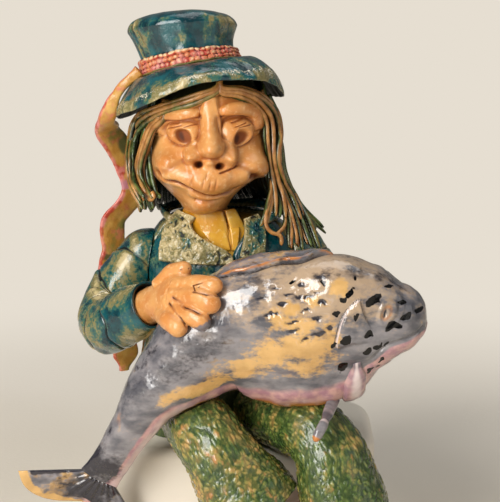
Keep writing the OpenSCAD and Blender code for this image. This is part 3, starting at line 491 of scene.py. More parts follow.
def yellow_glaze():
    """Honey yellow glaze, brown where it gathers at edges and pale where it is thick, with painted shade on
    the collar flaps.
    """
    f = Finish("yellow_glaze", GLOSS)
    colour = f.paint(f.fade(f.grain(12, 2, 1), 0.3, 0.7), "cf8f1e", "e6b546")
    colour = f.paint(f.fade(f.mark("edge"), 0.1, 0.8), colour, "a8621a")
    colour = f.paint(f.fade(f.grain(2.4, 3, 2), 0.58, 0.75), colour, "edcb80")
    # Painted shade on the collar flaps
    colour = f.paint(f.fade(f.mark("deep"), 0.1, 0.8), colour, "6f3c10")
    return f.finish(colour, f.add((f.grain(4, 2, 3), 0.6), (f.grain(0.9, 2, 4), 0.2)), 0.4)


def hair_glaze():
    """Strands washed with olive glaze over tan clay, each one differently, with painted shade in the gaps."""
    f = Finish("hair_glaze", {"Roughness": 0.24, "Coat Weight": 0.4, "Coat Roughness": 0.06})
    wash = f.grain(11, 3, 1, (1, 1, 2.5))
    tan = f.paint(f.fade(f.grain(6, 2, 2), 0.3, 0.7), "96602c", "c48d4e")
    green = f.paint(f.fade(f.grain(5, 2, 3), 0.35, 0.65), "2a3f1c", "5f7136")
    bare = f.fade(f.add((f.mark("tan"), 0.8), (wash, 0.7), (f.mark("out"), 0.5)), 0.86, 1.2)
    colour = f.paint(bare, green, tan)
    # Painted shade on the inner side of each strand, in the gaps between them
    colour = f.paint(f.fade(f.mark("out"), 0.72, 0.25), colour, "0c1008")
    return f.finish(colour, f.grain(0.8, 3, 4, (1, 1, 5)), 0.3)


def band_glaze():
    """Red, pink and orange knitted band with pale worn tips and painted shade between the kernels."""
    f = Finish("band_glaze", {"Roughness": 0.38, "Coat Weight": 0.25, "Coat Roughness": 0.15})
    colour = f.paint(f.fade(f.mark("shade"), 0.2, 0.8), "b83f2e", "cf7648")
    colour = f.paint(f.fade(f.grain(5, 2, 1), 0.45, 0.7), colour, "cf8078")
    worn = f.add((f.mark("high"), 0.7), (f.grain(3, 3, 2), 0.6), (f.mark("pale"), 0.6))
    colour = f.paint(f.fade(worn, 0.85, 1.2), colour, "e6c496")
    # Painted shade between the raised kernels
    colour = f.paint(f.fade(f.mark("high"), 0.45, 0.0), colour, "5f1c12")
    colour = f.paint(f.fade(f.mark("olive"), 0.2, 0.8), colour, "6b6a35")
    return f.finish(colour, f.grain(0.7, 3, 3), 0.35)


def ribbon_glaze():
    """Ochre ribbon with olive and pink patches and a red outer edge; one olive patch is painted shade under
    the brim.
    """
    f = Finish("ribbon_glaze", {"Roughness": 0.3, "Coat Weight": 0.35, "Coat Roughness": 0.1})
    clouds = f.grain(9, 3, 1)
    colour = f.paint(f.fade(clouds, 0.3, 0.7), "c08435", "dcae5c")
    colour = f.paint(f.fade(f.grain(14, 3, 6), 0.5, 0.66), colour, "8f8240")
    colour = f.paint(f.fade(f.grain(6, 3, 5), 0.5, 0.7), colour, "cf7d58")
    red = f.paint(f.fade(f.grain(5, 2, 2), 0.4, 0.6), "b9442f", "d9837a")
    # One olive patch is painted shade where the brim overhangs the ribbon
    colour = f.paint(f.fade(f.add((f.mark("olive"), 1.0), (clouds, 0.5)), 0.6, 1.0), colour, "66633a")
    edge = f.add((f.mark("red"), 1.0), (clouds, 0.7), (f.grain(3, 3, 7), 0.6))
    colour = f.paint(f.fade(edge, 1.0, 1.5), colour, red)
    colour = f.paint(f.fade(f.add((f.mark("pink"), 1.0), (clouds, 0.4)), 0.5, 1.0), colour, "bf7c86")
    return f.finish(colour, f.add((f.grain(3, 3, 3), 0.6), (f.grain(0.8, 2, 4), 0.2)), 0.5)


def fish_glaze():
    """Grey fish with beige clouds, ochre streaks, a pink belly, black spots and dark flecks under gloss."""
    f = Finish("fish_glaze", {"Roughness": 0.13, "Coat Weight": 0.7, "Coat Roughness": 0.03})
    drift, streak = f.grain(11, 4, 1, (1.8, 1, 1)), f.grain(5, 4, 9, (2.4, 1, 1))
    fine = f.grain(1.6, 3, 2, (1.4, 1, 1))
    colour = f.paint(f.fade(f.add((drift, 0.6), (streak, 0.4)), 0.38, 0.62), "58585f", "918d90")
    clouds = f.add((drift, 0.4), (streak, 0.55), (fine, 0.3), (f.mark("beige"), 0.36))
    colour = f.paint(f.fade(clouds, 0.7, 0.96), colour, "b89f84")
    gold = f.add((f.mark("ochre"), 0.8), (streak, 1.1), (drift, 0.5), (fine, 0.7))
    colour = f.paint(f.fade(gold, 1.4, 1.85), colour, f.paint(f.fade(drift, 0.35, 0.65), "cba062", "e2b675"))
    pink = f.paint(f.fade(f.grain(6, 3, 4), 0.35, 0.65), "b48692", "d6aaa2")
    colour = f.paint(f.fade(f.add((f.mark("pink"), 1.0), (streak, 0.5)), 0.6, 1.0), colour, pink)
    colour = f.paint(f.fade(f.add((f.mark("orange"), 1.0), (streak, 0.5)), 0.5, 1.1), colour, "c67c3a")
    # Pale marks include painted highlights on the gill cover's rim and on the flecks' rims
    colour = f.paint(f.fade(f.add((f.mark("pale"), 1.0), (streak, 0.2)), 0.4, 1.0), colour, "dfcfcd")
    # Dark marks include painted shade behind the gill cover and along the dorsal fold's near edge
    speck = f.add((f.mark("dark"), 1.0), (fine, 0.6), (streak, 0.4))
    colour = f.paint(f.fade(speck, 0.72, 1.15), colour, "2e2c34")
    spots = f.fade(f.add((f.mark("spot"), 1.0), (f.grain(1.6, 2, 6), 0.4)), 0.62, 0.74)
    colour = f.paint(spots, colour, "020203")
    relief = f.add((f.grain(7, 2, 7), 0.9), (f.grain(1.3, 2, 8), 0.12))
    return f.finish(colour, relief, 0.9, coat=f.do("SUBTRACT", 0.7, f.do("MULTIPLY", spots, 0.7)))


def trouser_glaze():
    """Green glaze over bark-like clay, breaking to olive, ochre and orange on the raised flecks, with painted
    shade in the furrows.
    """
    f = Finish("trouser_glaze", {"Roughness": 0.2, "Coat Weight": 0.55, "Coat Roughness": 0.06})
    patch, fine = f.grain(14, 3, 1), f.grain(2, 4, 2, (1, 1, 1.8))
    middle = f.grain(4.5, 4, 6, (1, 1, 1.6))
    colour = f.paint(f.fade(f.add((fine, 0.6), (middle, 0.4)), 0.35, 0.65), "38522a", "6b7f3c")
    bare = f.add((f.mark("warm"), 1.0), (patch, 0.9), (middle, 0.6), (fine, 0.35), (f.mark("high"), 0.12))
    colour = f.paint(f.fade(bare, 0.9, 1.12), colour, "8a8a48")
    colour = f.paint(f.fade(bare, 1.0, 1.26), colour, "ba9858")
    rust = f.add((f.mark("shade"), 0.3), (middle, 0.7), (f.mark("warm"), 0.6))
    colour = f.paint(f.do("MULTIPLY", f.fade(rust, 0.62, 0.8), 0.8), colour, "b9804a")
    # Painted shade in the furrows between the flecks
    colour = f.paint(f.do("MULTIPLY", f.fade(f.mark("high"), 0.3, 0.03), 0.5), colour, "1c2c14")
    return f.finish(colour, f.add((f.grain(1.4, 3, 4, (1, 1, 2)), 0.7), (f.grain(0.6, 2, 5), 0.25)), 0.5)


def boot_glaze():
    """Red-orange glaze, with painted shade in the folds."""
    f = Finish("boot_glaze", GLOSS)
    colour = f.paint(f.fade(f.grain(10, 3, 1), 0.35, 0.65), "8e3216", "b9552a")
    colour = f.paint(f.fade(f.grain(2.5, 3, 2), 0.55, 0.75), colour, "cf7b46")
    colour = f.paint(f.fade(f.mark("deep"), 0.1, 0.8), colour, "45160a")
    return f.finish(colour, f.add((f.grain(4, 2, 3), 0.6), (f.grain(0.8, 2, 4), 0.2)), 0.45)


TEAL, CLAY, YELLOW, HAIR = teal_glaze(), skin_clay("skin_clay"), yellow_glaze(), hair_glaze()
BAND, RIBBON, FISH, TROUSER, BOOT = band_glaze(), ribbon_glaze(), fish_glaze(), trouser_glaze(), boot_glaze()

# Torso and clothes

TORSO_HIGH = 121
TORSO = [[0, 40, 32, 4, 4], [36, 39, 30, 4, 3.4], [70, 36, 28, 3, 2.6], [97.2, 37, 27, 3, 2.4],
         [112.5, 31, 23, 2, 2.2], [121, 20, 18, 0, 2]]
# Gaps from the torso to the shirt, the coat's fronts, its outer face and the lapels
LAY, COAT_FROM, COAT_SKIN, LAPEL_FROM = 0.6, 2.8, 6.2, 6.65
# Levels of the fronts' hem, of the chest and of the yoke, as places among the torso's rows
FRONT_HEM, CHEST, YOKE = 1.35, 3.25, 4.62
# Angles of the coat's opening at the waist, and of its right and left edges at the yoke
OPENING, OPENING_RIGHT, OPENING_LEFT = 277, 238, 296


def torso_at(t, a):
    """Torso: superellipses whose half sizes, middle and squareness follow the rows from shelf to neck."""
    r = smooth(TORSO, t)
    e = 2 / r[..., 4]
    return vec(r[..., 1] * power(cos(a), e), r[..., 3] + r[..., 2] * power(sin(a), e), r[..., 0])


def opened(t, edge):
    """Angle of a coat front's edge: closed at the waist, opening towards the shoulder above the chest."""
    return mix(OPENING, edge, ease((t - CHEST) / (YOKE - CHEST)))


def thin(s, t, p):
    """Where the glaze of a slab has thinned: along its edges and on broken lumps."""
    return 0.1 + 0.3 * (1 - rounded(s, 0.08) * rounded(t, 0.08)) + 0.22 * lumps(p, 9, 5)


def coat_clay(thick, seed):
    """A slab's thickness with the unevenness of a hand-pressed sheet."""
    return lambda s, t, p: thick * (1 + 0.12 * lumps(p, 14, seed) + 0.05 * lumps(p, 3, seed + 5, 2))


def crumbled(p, seed):
    """Crumbled clay, 0 in its cracks and 1 on its lumps: ridges of wavering swells with grains between."""
    p = p + 1.4 * vec(lumps(p, 5, seed), lumps(p, 5, seed + 1), lumps(p, 5, seed + 2))
    ridge = 1 - np.abs(swell(p, 3.4, seed + 3) + 0.5 * swell(p, 1.7, seed + 4))
    gap, shade = cells(p, 2.1, seed + 5)[1:]
    return np.clip(0.55 * ridge + 0.35 * ease(gap * 2.2) * shade + 0.35 * swell(p, 7, seed + 6), 0, 1)


def torn_clay(thick, seed=11):
    """A lapel's thickness with a crumbled, torn face."""
    return lambda s, t, p: thick * (0.7 + 0.6 * crumbled(p, seed) + 0.14 * lumps(p, 9, 17))


def torn_thin(share, seed=11):
    """A torn face is bare on its lumps, to a share that grows towards its edges and its top."""
    def bare(s, t, p):
        rim = 1 - rounded(s, 0.1) * rounded(t, 0.12)
        worn = share * (0.5 + 0.7 * crumbled(p, seed)) + 0.2 * lumps(p, 9, 23)
        return worn + 0.15 * rim + 0.25 * ease((s - 0.75) * 4)
    return bare


def crack_shade(s, t, p):
    """Painted shade, near black, in the cracks of a torn face."""
    return 0.7 * ease(1 - 3.4 * crumbled(p, 11))


def edge_at(edge, u, s):
    """Angle of a slab's edge: fixed, turning evenly from a foot's to a top's, or a function of the level."""
    return edge(u) if callable(edge) else mix(*np.broadcast_to(edge, 2), s)


def slab_at(low, high, left, right):
    """Places of a slab on the torso between two levels and two edges."""
    def at(s, t):
        u = mix(low, high, s)
        return u, mix(edge_at(left, u, s), edge_at(right, u, s), t)
    return at


shirt = slab(torso_at, slab_at(FRONT_HEM, 4.8, 226, 314), coat_clay(1.6, 31), LAY, 70, 70)
piece("shirt_front", shirt, YELLOW, "yellow_glaze")


def collar_at(t, a):
    """The shirt's standing collar: ellipses that narrow from the shoulders up to the jaw."""
    x = mix(-1, -5, t) + mix(24.5, 15.5, t) * cos(a)
    y = mix(0, -4, t) + mix(21.5, 17, t) * sin(a)
    return vec(x, y, mix(113, 128.5, t))


def flap(left, right, gap, seed, columns):
    """A collar flap between two edges, each an angle at the foot and one at the top."""
    at = lambda s, t: (s, mix(mix(*left, s), mix(*right, s), t))
    # Painted shade: a dark line along the edge next to the other flap, and darkening towards the top under
    # the chin
    dark = lambda s, t, p: 0.35 * bell((t - 1) / 0.04) + 0.45 * ease((s - 0.45) / 0.5)
    return slab(collar_at, at, coat_clay(1.9, seed), gap, 40, columns, 0.3, deep=dark)


tab_right = slab_at(3.5, 4.6, (271, 243), (277, 275.5))
tab_left = slab_at(3.5, 4.6, (277.6, 278.5), (281, 292))
collar_flaps = [
    slab(torso_at, tab_right, coat_clay(1.9, 33), COAT_FROM - 1, 50, 40),
    slab(torso_at, tab_left, coat_clay(2.2, 35), COAT_FROM - 0.6, 50, 24),
    flap((206, 200), (284, 293), 0.2, 37, 60), flap((285, 294), (311, 316), 0.9, 39, 30)]
piece("shirt_collar", collar_flaps, YELLOW, "yellow_glaze")

coat_back = slab(torso_at, slab_at(0.08, YOKE, -19.8, 199.8), coat_clay(COAT_SKIN - LAY, 41), LAY,
                 110, 150, 0.55, thin=thin)
piece("coat_back", coat_back, TEAL, "teal_glaze")

front_right = slab(torso_at, slab_at(FRONT_HEM, YOKE, 200, lambda u: opened(u, OPENING_RIGHT)),
                   coat_clay(3.4, 43), COAT_FROM, 90, 60, 0.5, thin=thin)
piece("coat_front_right", front_right, TEAL, "teal_glaze")
front_left = slab(torso_at, slab_at(FRONT_HEM, YOKE, lambda u: opened(u, OPENING_LEFT) + 0.4, 340),
                  coat_clay(3.4, 45), COAT_FROM, 90, 60, 0.5, thin=thin)
piece("coat_front_left", front_left, TEAL, "teal_glaze")

lapel_right = slab(torso_at, slab_at(3.1, 4.97, (222, 205), lambda u: opened(u, OPENING_RIGHT) + 0.5),
                   torn_clay(2.8), LAPEL_FROM, 180, 170, 0.35, thin=torn_thin(0.62), deep=crack_shade)
piece("lapel_right", lapel_right, TEAL, "teal_glaze")
lapel_left = slab(torso_at, slab_at(3.1, 4.9, (280, 298), (300, 320)), torn_clay(2.6, 13), LAPEL_FROM,
                  170, 80, 0.35, thin=torn_thin(0.35, 13), deep=crack_shade)
piece("lapel_left", lapel_left, TEAL, "teal_glaze")


def collar_roll(s, t, p):
    """Height of the rolled collar: a half round across it that sinks at both ends."""
    ends = 0.5 + 0.5 * ease(10 * np.minimum(t, 1 - t))
    return 6 * (0.6 + 0.4 * sin(180 * s)) * ends * (1 + 0.1 * lumps(p, 8, 47))


coat_collar = slab(torso_at, slab_at(4.32, 4.58, -38, 208), collar_roll, LAPEL_FROM, 24, 170, 0.3, thin=thin)
piece("coat_collar", coat_collar, TEAL, "teal_glaze")

# Sleeves

LEVELS = np.linspace(0, 5, 51)
HEIGHTS = smooth(TORSO, LEVELS)[:, 0]


def clear_of_coat(p):
    """Moves points inside the coat straight out to its face, by their superellipse distance."""
    r = smooth(TORSO, np.interp(p[..., 2], HEIGHTS, LEVELS))
    x, y = p[..., 0], p[..., 1] - r[..., 3]
    wall = COAT_SKIN + 0.5 + 0.9 * ease((p[..., 2] - TORSO_HIGH + 26) / 16)
    n = r[..., 4]
    k = (np.abs(x / (r[..., 1] + wall)) ** n + np.abs(y / (r[..., 2] + wall)) ** n) ** (1 / n)
    k = np.clip(k, 1e-3, 1)
    return vec(x / k, r[..., 3] + y / k, p[..., 2])


ELBOW_BEND, SLEEVE_SIDES = 15.8, 130
# Share along the sleeve, lean and turn of the deep folds, and of the fine creases over the elbow
FOLDS = [(0.40, 0.07, 40), (0.47, -0.09, 70), (0.53, 0.10, 120), (0.60, -0.05, 60), (0.36, -0.04, 200),
         (0.22, 0.06, 150), (0.72, 0.06, 230)]
FINE_CREASES = [(0.44, 0.20, 10), (0.50, -0.22, 35), (0.47, 0.17, 80), (0.55, -0.18, 95)]
# Shrink of the cuff's inner rings, how far they go back into the sleeve, and how much painted shade darkens
# them
CUFF_INNER, CUFF_BACK, CUFF_SHADE = [0.985, 0.93, 0.86, 0.82, 0.8], [0, 0, -0.6, -4, -7], [0, 0.2, 0.8, 1, 1]


def sleeve(shoulder, elbow, cuff, seed, sand=()):
    """A bent tube, closed round at the shoulder, with elbow creases, sandy patches and a hollow cuff."""
    t = np.linspace(0, 1, 200)
    path = bent(shoulder, elbow, cuff, ELBOW_BEND, t)
    r = mix(14.5, 15.5, ease(t)) * np.where(t < 0.14, np.sqrt(1 - np.clip(1 - t / 0.14, 0, 1) ** 2 * 0.96), 1)
    r = r * (1 - 0.17 * ease((t - 0.84) / 0.16))
    rings = limb(path, r, r, SLEEVE_SIDES)
    a = np.linspace(0, 360, SLEEVE_SIDES, endpoint=False)[None]
    bulge = 1.2 * lumps(rings, 22, seed, 2) + 0.35 * lumps(rings, 7, seed + 3, 2)
    creases = 0
    for place, lean, turn in FOLDS:
        line = place + lean * sin(a + turn) + 0.016 * swell(rings, 9, seed + turn)
        off = t[:, None] - line
        depth = 0.35 + 0.65 * ease(0.5 + 0.9 * swell(rings, 12, seed + turn + 1))
        creases = creases + depth * (0.5 * bell((off - 0.025) / 0.02) - 1.2 * bell(off / 0.007))
    for place, lean, turn in FINE_CREASES:
        line = place + lean * sin(a + turn) + 0.01 * swell(rings, 7, seed + turn)
        creases = creases - 0.55 * bell((t[:, None] - line) / 0.005) * bell((t[:, None] - 0.48) / 0.1)
    rise = bulge + creases * ease(t[:, None] * 8)
    rings = clear_of_coat(raised(rings, rise))
    shade = np.repeat(np.array(CUFF_SHADE)[:, None], SLEEVE_SIDES, 1)
    # Painted shade in the sleeve's folds and inside the cuff
    deep = np.concatenate([np.clip(hollows(rise, 10) * 1.8, 0, 1), shade])
    bare = 0.12 + 0.2 * lumps(rings, 12, seed + 9) + 0.2 * np.clip(-hollows(rise, 20), 0, 1)
    for *place, size, share in sand:
        near = bell(np.linalg.norm(rings - place, axis=-1) / size)
        bare = bare + share * near * (0.7 + 0.5 * lumps(rings, 5, seed + 11))
    rings = np.concatenate([rings, mouth(path, rings[-1], CUFF_INNER, CUFF_BACK)])
    return skin(rings, deep=deep, thin=np.concatenate([bare, 0 * shade]))


ARM_RIGHT = [-34, 2, 112], [-80, -8, 51], [-37, -50, 82]
ARM_LEFT = [36, 4, 111], [82, 9, 44], [70, -20, 66]
# Middle, size and strength of the sandy patches on the right sleeve
SAND = [(-51, -12, 116, 6, 1.0), (-52, -17, 106, 5, 0.7), (-56, -18, 98, 6, 0.6), (-66, -20, 80, 6, 0.6),
        (-72, -18, 88, 4, 0.5), (-45, -42, 70, 9, 0.7), (-58, -30, 65, 9, 0.8), (-38, -50, 70, 7, 0.6),
        (-80, -16, 62, 7, 0.6), (-74, -24, 52, 7, 0.5)]
piece("sleeve_right", sleeve(*ARM_RIGHT, 51, SAND), TEAL, "teal_glaze")
piece("sleeve_left", sleeve(*ARM_LEFT, 57), TEAL, "teal_glaze")

# Head and face

HEAD_X, HEAD_Y, JAW_Z, HEAD_WIDE, HEAD_DEEP, HEAD_HIGH = -6.4, -5, 127, 65, 64, 75
HAT = np.array([-15.5, -1, 199.0])
HAT_ROLL, HAT_PITCH = 12, 13
# Share of the height, half width and half depth as shares, and shift to the side
HEAD = np.array([
    [0, 0.36, 0.52, -2.6], [0.067, 0.455, 0.68, -2.7], [0.128, 0.58, 0.79, -3], [0.21, 0.76, 0.89, -2.7],
    [0.293, 0.95, 0.955, -1.4], [0.45, 0.99, 1, 0], [0.62, 0.95, 1, 0], [0.80, 0.88, 0.94, 0],
    [1, 0.59, 0.70, 0]]) * [1, HEAD_WIDE / 2, HEAD_DEEP / 2, 1]
# Share of the height, angle, rise, spread up and spread round of the face's broad forms
SWELLINGS = [
    [0.07, 270, 3, 0.07, 26], [0.26, 270, 4.5, 0.10, 34], [0.36, 226, 4, 0.09, 16], [0.33, 316, 4, 0.09, 16],
    [0.77, 243, 2.5, 0.05, 18], [0.77, 299, 2.5, 0.05, 18], [0.64, 243, -2.5, 0.08, 15],
    [0.64, 299, -2.5, 0.08, 15]]


def hat_plane(x, y):
    """Height of the tilted plane under the brim."""
    tilt = np.tan(np.radians(HAT_PITCH)) / cos(HAT_ROLL)
    return HAT[2] + (x - HAT[0]) * np.tan(np.radians(HAT_ROLL)) - (y - HAT[1]) * tilt


def head_at(t, a):
    """Head: ellipses by level with the face's broad swellings, sheared at the top to meet the hat."""
    r = smooth(HEAD, t)
    turn = np.where(a < 90, a + 360, a)
    rise = sum(h * bell((r[..., 0] - s) / up) * bell((turn - m) / wide) for s, m, h, up, wide in SWELLINGS)
    x = HEAD_X + r[..., 3] + (r[..., 1] + rise) * cos(a)
    y = HEAD_Y + (r[..., 2] + rise) * sin(a)
    z = JAW_Z + r[..., 0] * HEAD_HIGH
    return vec(x, y, z + np.maximum(0, r[..., 0]) ** 4 * (hat_plane(x, y) - 0.15 - JAW_Z - HEAD_HIGH))


def blob(x, z, cx, cz, rx, rz, turn=0):
    """Distance from a place on the face in half sizes of an oval, turned by an angle."""
    dx, dz = x - cx, z - cz
    return np.hypot((dx * cos(turn) + dz * sin(turn)) / rx, (dz * cos(turn) - dx * sin(turn)) / rz)


def roll(x, z, route, half, height):
    """A rolled coil along a route: a half round across it that tapers at both ends and falls off beside."""
    d, t = nearest(x, z, route)
    taper = dome(np.abs(2 * t - 1) ** 3)
    q = d / (half * (0.5 + 0.5 * taper))
    return height * np.where(q < 1, taper * dome(q), 1 - q)


def crease(x, z, route, half, depth):
    """A line pressed into the clay along a route, with a bell across it, fading at both ends."""
    d, t = nearest(x, z, route)
    return depth * bell(d / half) * ease(8 * np.minimum(t, 1 - t) + 0.3)


BROW_RIGHT = [(-28.2, 44.5), (-26.2, 50.5), (-21.5, 54), (-13, 56.3), (-4.4, 57)]
BROW_LEFT = [(6.1, 57.4), (12, 58.9), (18, 58.9), (23.5, 56.4), (26.3, 52.4), (26.3, 46)]
FOLD_RIGHT = [(-23.4, 51.6), (-17.8, 53.3), (-9.7, 54.7), (-3.2, 55.3)]
FOLD_LEFT = [(5.9, 55.2), (10.7, 56.3), (17, 55.9), (22.2, 53)]
SCRATCHES = [
    [(-20.5, 50), (-17.5, 51.2), (-14.5, 52)], [(-20.8, 47.9), (-16.8, 49.5), (-12.8, 51.3)],
    [(-11.6, 49.6), (-8.6, 50.7), (-5.8, 51)], [(11.2, 51.8), (15.2, 53), (19.2, 53.6)],
    [(11.9, 49.2), (15.8, 50.6), (19.7, 51.6)], [(14, 48.2), (18, 49.4), (21.6, 50)]]
NOSE_SIDES = [
    [(-3.9, 57.5), (-3.7, 52), (-4.2, 46), (-5.4, 41.5)], [(4.9, 56.7), (4.9, 52), (5.4, 46), (6.8, 41)]]
MOUTH = [(-27.6, 25.2), (-24.9, 21.6), (-16.3, 20.6), (-9.5, 17.3), (-1.3, 14), (5.7, 13.4), (12.7, 14.9),
         (19.9, 19.5), (23.4, 22.6)]
UNDER_LIP = [(-7.8, 9.9), (-4, 9.4), (0.2, 9.2), (5, 9.9), (8.1, 11.1)]
SMILE_RIGHT = [(-12.5, 32), (-16, 29.5), (-19.5, 27.2), (-24, 25.2)]
SMILE_LEFT = [(14.5, 30), (18, 28), (21, 26), (22.8, 24)]
NOSTRIL_FOLD = [(5.2, 24.6), (8.8, 25.9), (12.5, 27.3), (15.9, 28.8)]
MUZZLE = [(-20, 24.6), (-10, 22.5), (0, 20.5), (10, 21.5), (19, 24.5)]
LOWER_LIP = [(-8.5, 13.6), (-2, 11.4), (3.5, 11.2), (10, 13)]
# Route, half width, depth and painted shade of each pressed line
LINES = [(MOUTH, 0.9, 3, 1), (UNDER_LIP, 1.3, 1.5, 0.3), (NOSTRIL_FOLD, 0.6, 1.3, 0.8),
         (SMILE_RIGHT, 1.8, 1.3, 0.35), (SMILE_LEFT, 1.8, 1.3, 0.35),
         (FOLD_RIGHT, 0.8, 1.6, 0.65), (FOLD_LEFT, 0.8, 1.6, 0.65),
         *[(line, 0.42, 1, 0.7) for line in SCRATCHES], *[(side, 1.3, 1.2, 0.3) for side in NOSE_SIDES]]
WRINKLES = [(-2.4, 20.8), (0.6, 19.8), (3.4, 20.6), (-8, 20.9), (-0.8, 23.2)]
# Depth, middle, half sizes and turn of the ovals pressed into the eyes, nostrils and corners of the mouth,
# and of the painted shade on one side of each pupil, which is not pressed
PUPILS = [(1, -12.4, 44.4, 4.3, 4.1, 20), (1, 17, 43.2, 4.1, 3.8, 15)]
PUPIL_SHADES = [(1, -14.8, 44.4, 2.3, 3.6, 12), (1, 14.7, 42.6, 2.2, 3.2, 12)]
NOSTRILS = [(5.5, -4.9, 29.8, 2, 1.8, 0), (5.5, 5.9, 28.8, 2.2, 1.7, 10)]
MOUTH_ENDS = [(4.6, 23.8, 22.2, 2.5, 2.6, 0), (4, -26.6, 23.4, 2.2, 2.6, 20)]


def pressed(x, z, ovals, sharp):
    """Dents of a round tool: bells of an oval distance to a power, steeper as it is sharper."""
    return sum(depth * bell(blob(x, z, *oval) ** sharp) for depth, *oval in ovals)


def nose_relief(x, z):
    """Relief of the nose: a ridge, a bulb, a column and two wings as mounds that run into each other."""
    ridge = mix(4.9, 7.6, ease((56 - z) / 18))
    along = ease((z - 33) / 6) * ease((68 - z) / 10)
    bridge = mix(1.4, 0.7, ease((z - 42) / 10))
    nose = mix(10.5, 3, ease((z - 38) / 22)) * along * mound(np.abs(x - bridge) / ridge)
    bulb = 12.6 * mound(blob(x, z, 1.4, 38.6, 8.2, np.where(z < 38.6, 7, 9.5)))
    right = 8.6 * mound(blob(x, z, -7.8, 34, 7.4, np.where(z < 34, 4.8, 7), 22))
    left = 7.4 * mound(blob(x, z, 11.2, 32.8, 7.2, np.where(z < 33, 4.8, 7), -30))
    column = 6 * mound(blob(x, z, 0.8, 31, 5, 5.5))
    nose = crown_of(crown_of(crown_of(nose, bulb, 5), column, 4), np.maximum(right, left), 5)
    reach = mix(15, 6.5, ease((z - 38) / 7))
    return nose - 9 * ease((np.hypot((x - 1.2) / reach, (z - 42) / 32) - 0.75) / 0.5)


def face_relief(x, z):
    """Relief of the face over the plain head in millimetres, with the painted shade of its lines and its
    pits:
    bells for the cheeks, chin and sockets, half rounds for the eyes and brows, then pressed creases."""
    rise = 3 * bell(blob(x, z, -21, 31, 8, 7)) + 3.2 * bell(blob(x, z, 26, 29, 5.5, 6))
    rise = rise + 3.6 * bell(blob(x, z, 29.5, 22, 4, 5.5)) + 1.4 * bell(blob(x, z, -2.6, 4.5, 9, 4.5))
    rise = rise + 3.3 * bell(nearest(x, z, MUZZLE)[0] / 6)
    rise = rise + 1.6 * bell(nearest(x, z, LOWER_LIP)[0] / 2)
    rise = rise - 3.8 * (bell(blob(x, z, -13.6, 46, 12, 9)) + bell(blob(x, z, 15.7, 46, 11.5, 9.5)))
    edge_r, edge_l = blob(x, z, -13.6, 46.5, 10.2, 7.2), blob(x, z, 15.7, 46.6, 9.8, 8.2)
    rise = crown_of(rise, np.maximum(9.6 * dome(edge_r), 10 * dome(edge_l)) - 4.2, 1.4)
    ring = (bell((edge_r - 1.03) / 0.075) + bell((edge_l - 1.03) / 0.075)) * ease((53 - z) / 6)
    brows = np.maximum(roll(x, z, BROW_RIGHT, 3.2, 3.6), roll(x, z, BROW_LEFT, 3.4, 3.6))
    rise = crown_of(crown_of(rise - 0.3 * ring, brows, 2), nose_relief(x, z), 4)
    # Painted shade in the ring round each eye, in the pressed lines and in the wrinkles
    crease_shade = 0.3 * ring
    for line, half, depth, dark in LINES:
        mark = crease(x, z, line, half, 1)
        rise, crease_shade = rise - depth * mark, np.maximum(crease_shade, dark * mark)
    for wx, wz in WRINKLES:
        mark = bell((x - wx - 0.25 * (z - wz)) / 0.45) * bell((z - wz) / 1.7)
        rise, crease_shade = rise - 0.6 * mark, np.maximum(crease_shade, 0.4 * mark)
    pupils, pupil_shade = pressed(x, z, PUPILS, 2.6), pressed(x, z, PUPIL_SHADES, 2)
    holes = pressed(x, z, NOSTRILS, 1.4) + pressed(x, z, MOUTH_ENDS, 1)
    # Painted shade of the pits: darker holes, and one side of each pupil darker still
    pits = holes / 5 + np.minimum(pupils, 1) * (0.55 + 0.4 * np.minimum(pupil_shade, 1))
    return rise - 4.4 * pupils - holes, crease_shade, pits


HAIRLINE = [(-36, 45), (-30, 53), (-22.7, 58), (-14.5, 61), (-5.8, 63.5), (5.5, 71), (14.9, 67.5), (22.4, 63),
            (27.3, 58), (29.7, 52), (33, 44)]
# Size and drop of the rings that close the chin
CHIN_RINGS = [(0.1, 0.8), (0.45, 0.75), (0.75, 0.6), (0.92, 0.3)]


def head_skin():
    """The head as rings from the chin to the hat, dense over the face and raised by its relief."""
    t = np.concatenate([np.linspace(0, 6.9, 236), np.linspace(6.95, 8, 14)])[:, None]
    face, nape = np.linspace(202, 338, 250, endpoint=False), np.linspace(338, 562, 70, endpoint=False)
    a = np.concatenate([face, nape])[None]
    a = np.where(a >= 360, a - 360, a)
    t, a = np.broadcast_arrays(t, a)
    base = head_at(t, a)
    x, z = base[..., 0] - HEAD_X, base[..., 2] - JAW_Z
    rise, crease_shade, pits = face_relief(x, z)
    front = ease((-sin(a) - 0.12) / 0.25)
    rise = rise * front + 0.25 * lumps(base, 8, 61, 3)
    points = raised(base, rise)
    # Painted shade in the face's hollows and pressed lines
    deep = np.clip(np.maximum(np.minimum(hollows(rise, 40) * 0.55, 0.5), crease_shade), 0, 1) * front
    forehead = ease((z - np.interp(x, *np.transpose(HAIRLINE))) / 2)
    scalp = np.maximum(1 - ease((-sin(a) - 0.25) / 0.2), forehead)
    chin = points[0].mean(0)
    under = [chin + (points[0] - chin) * k - [0, 0, d] for k, d in CHIN_RINGS]
    more = lambda v: np.concatenate([np.repeat(v[:1], len(CHIN_RINGS), 0), v])
    return skin(np.concatenate([under, points]), deep=more(deep), pit=more(pits * front), scalp=more(scalp))


piece("head", head_skin(), CLAY, "bare_clay", "nose", "eye_right", "eye_left", "eyelid_right",
      "eyelid_left", "upper_lip", "lower_lip")

# Hair

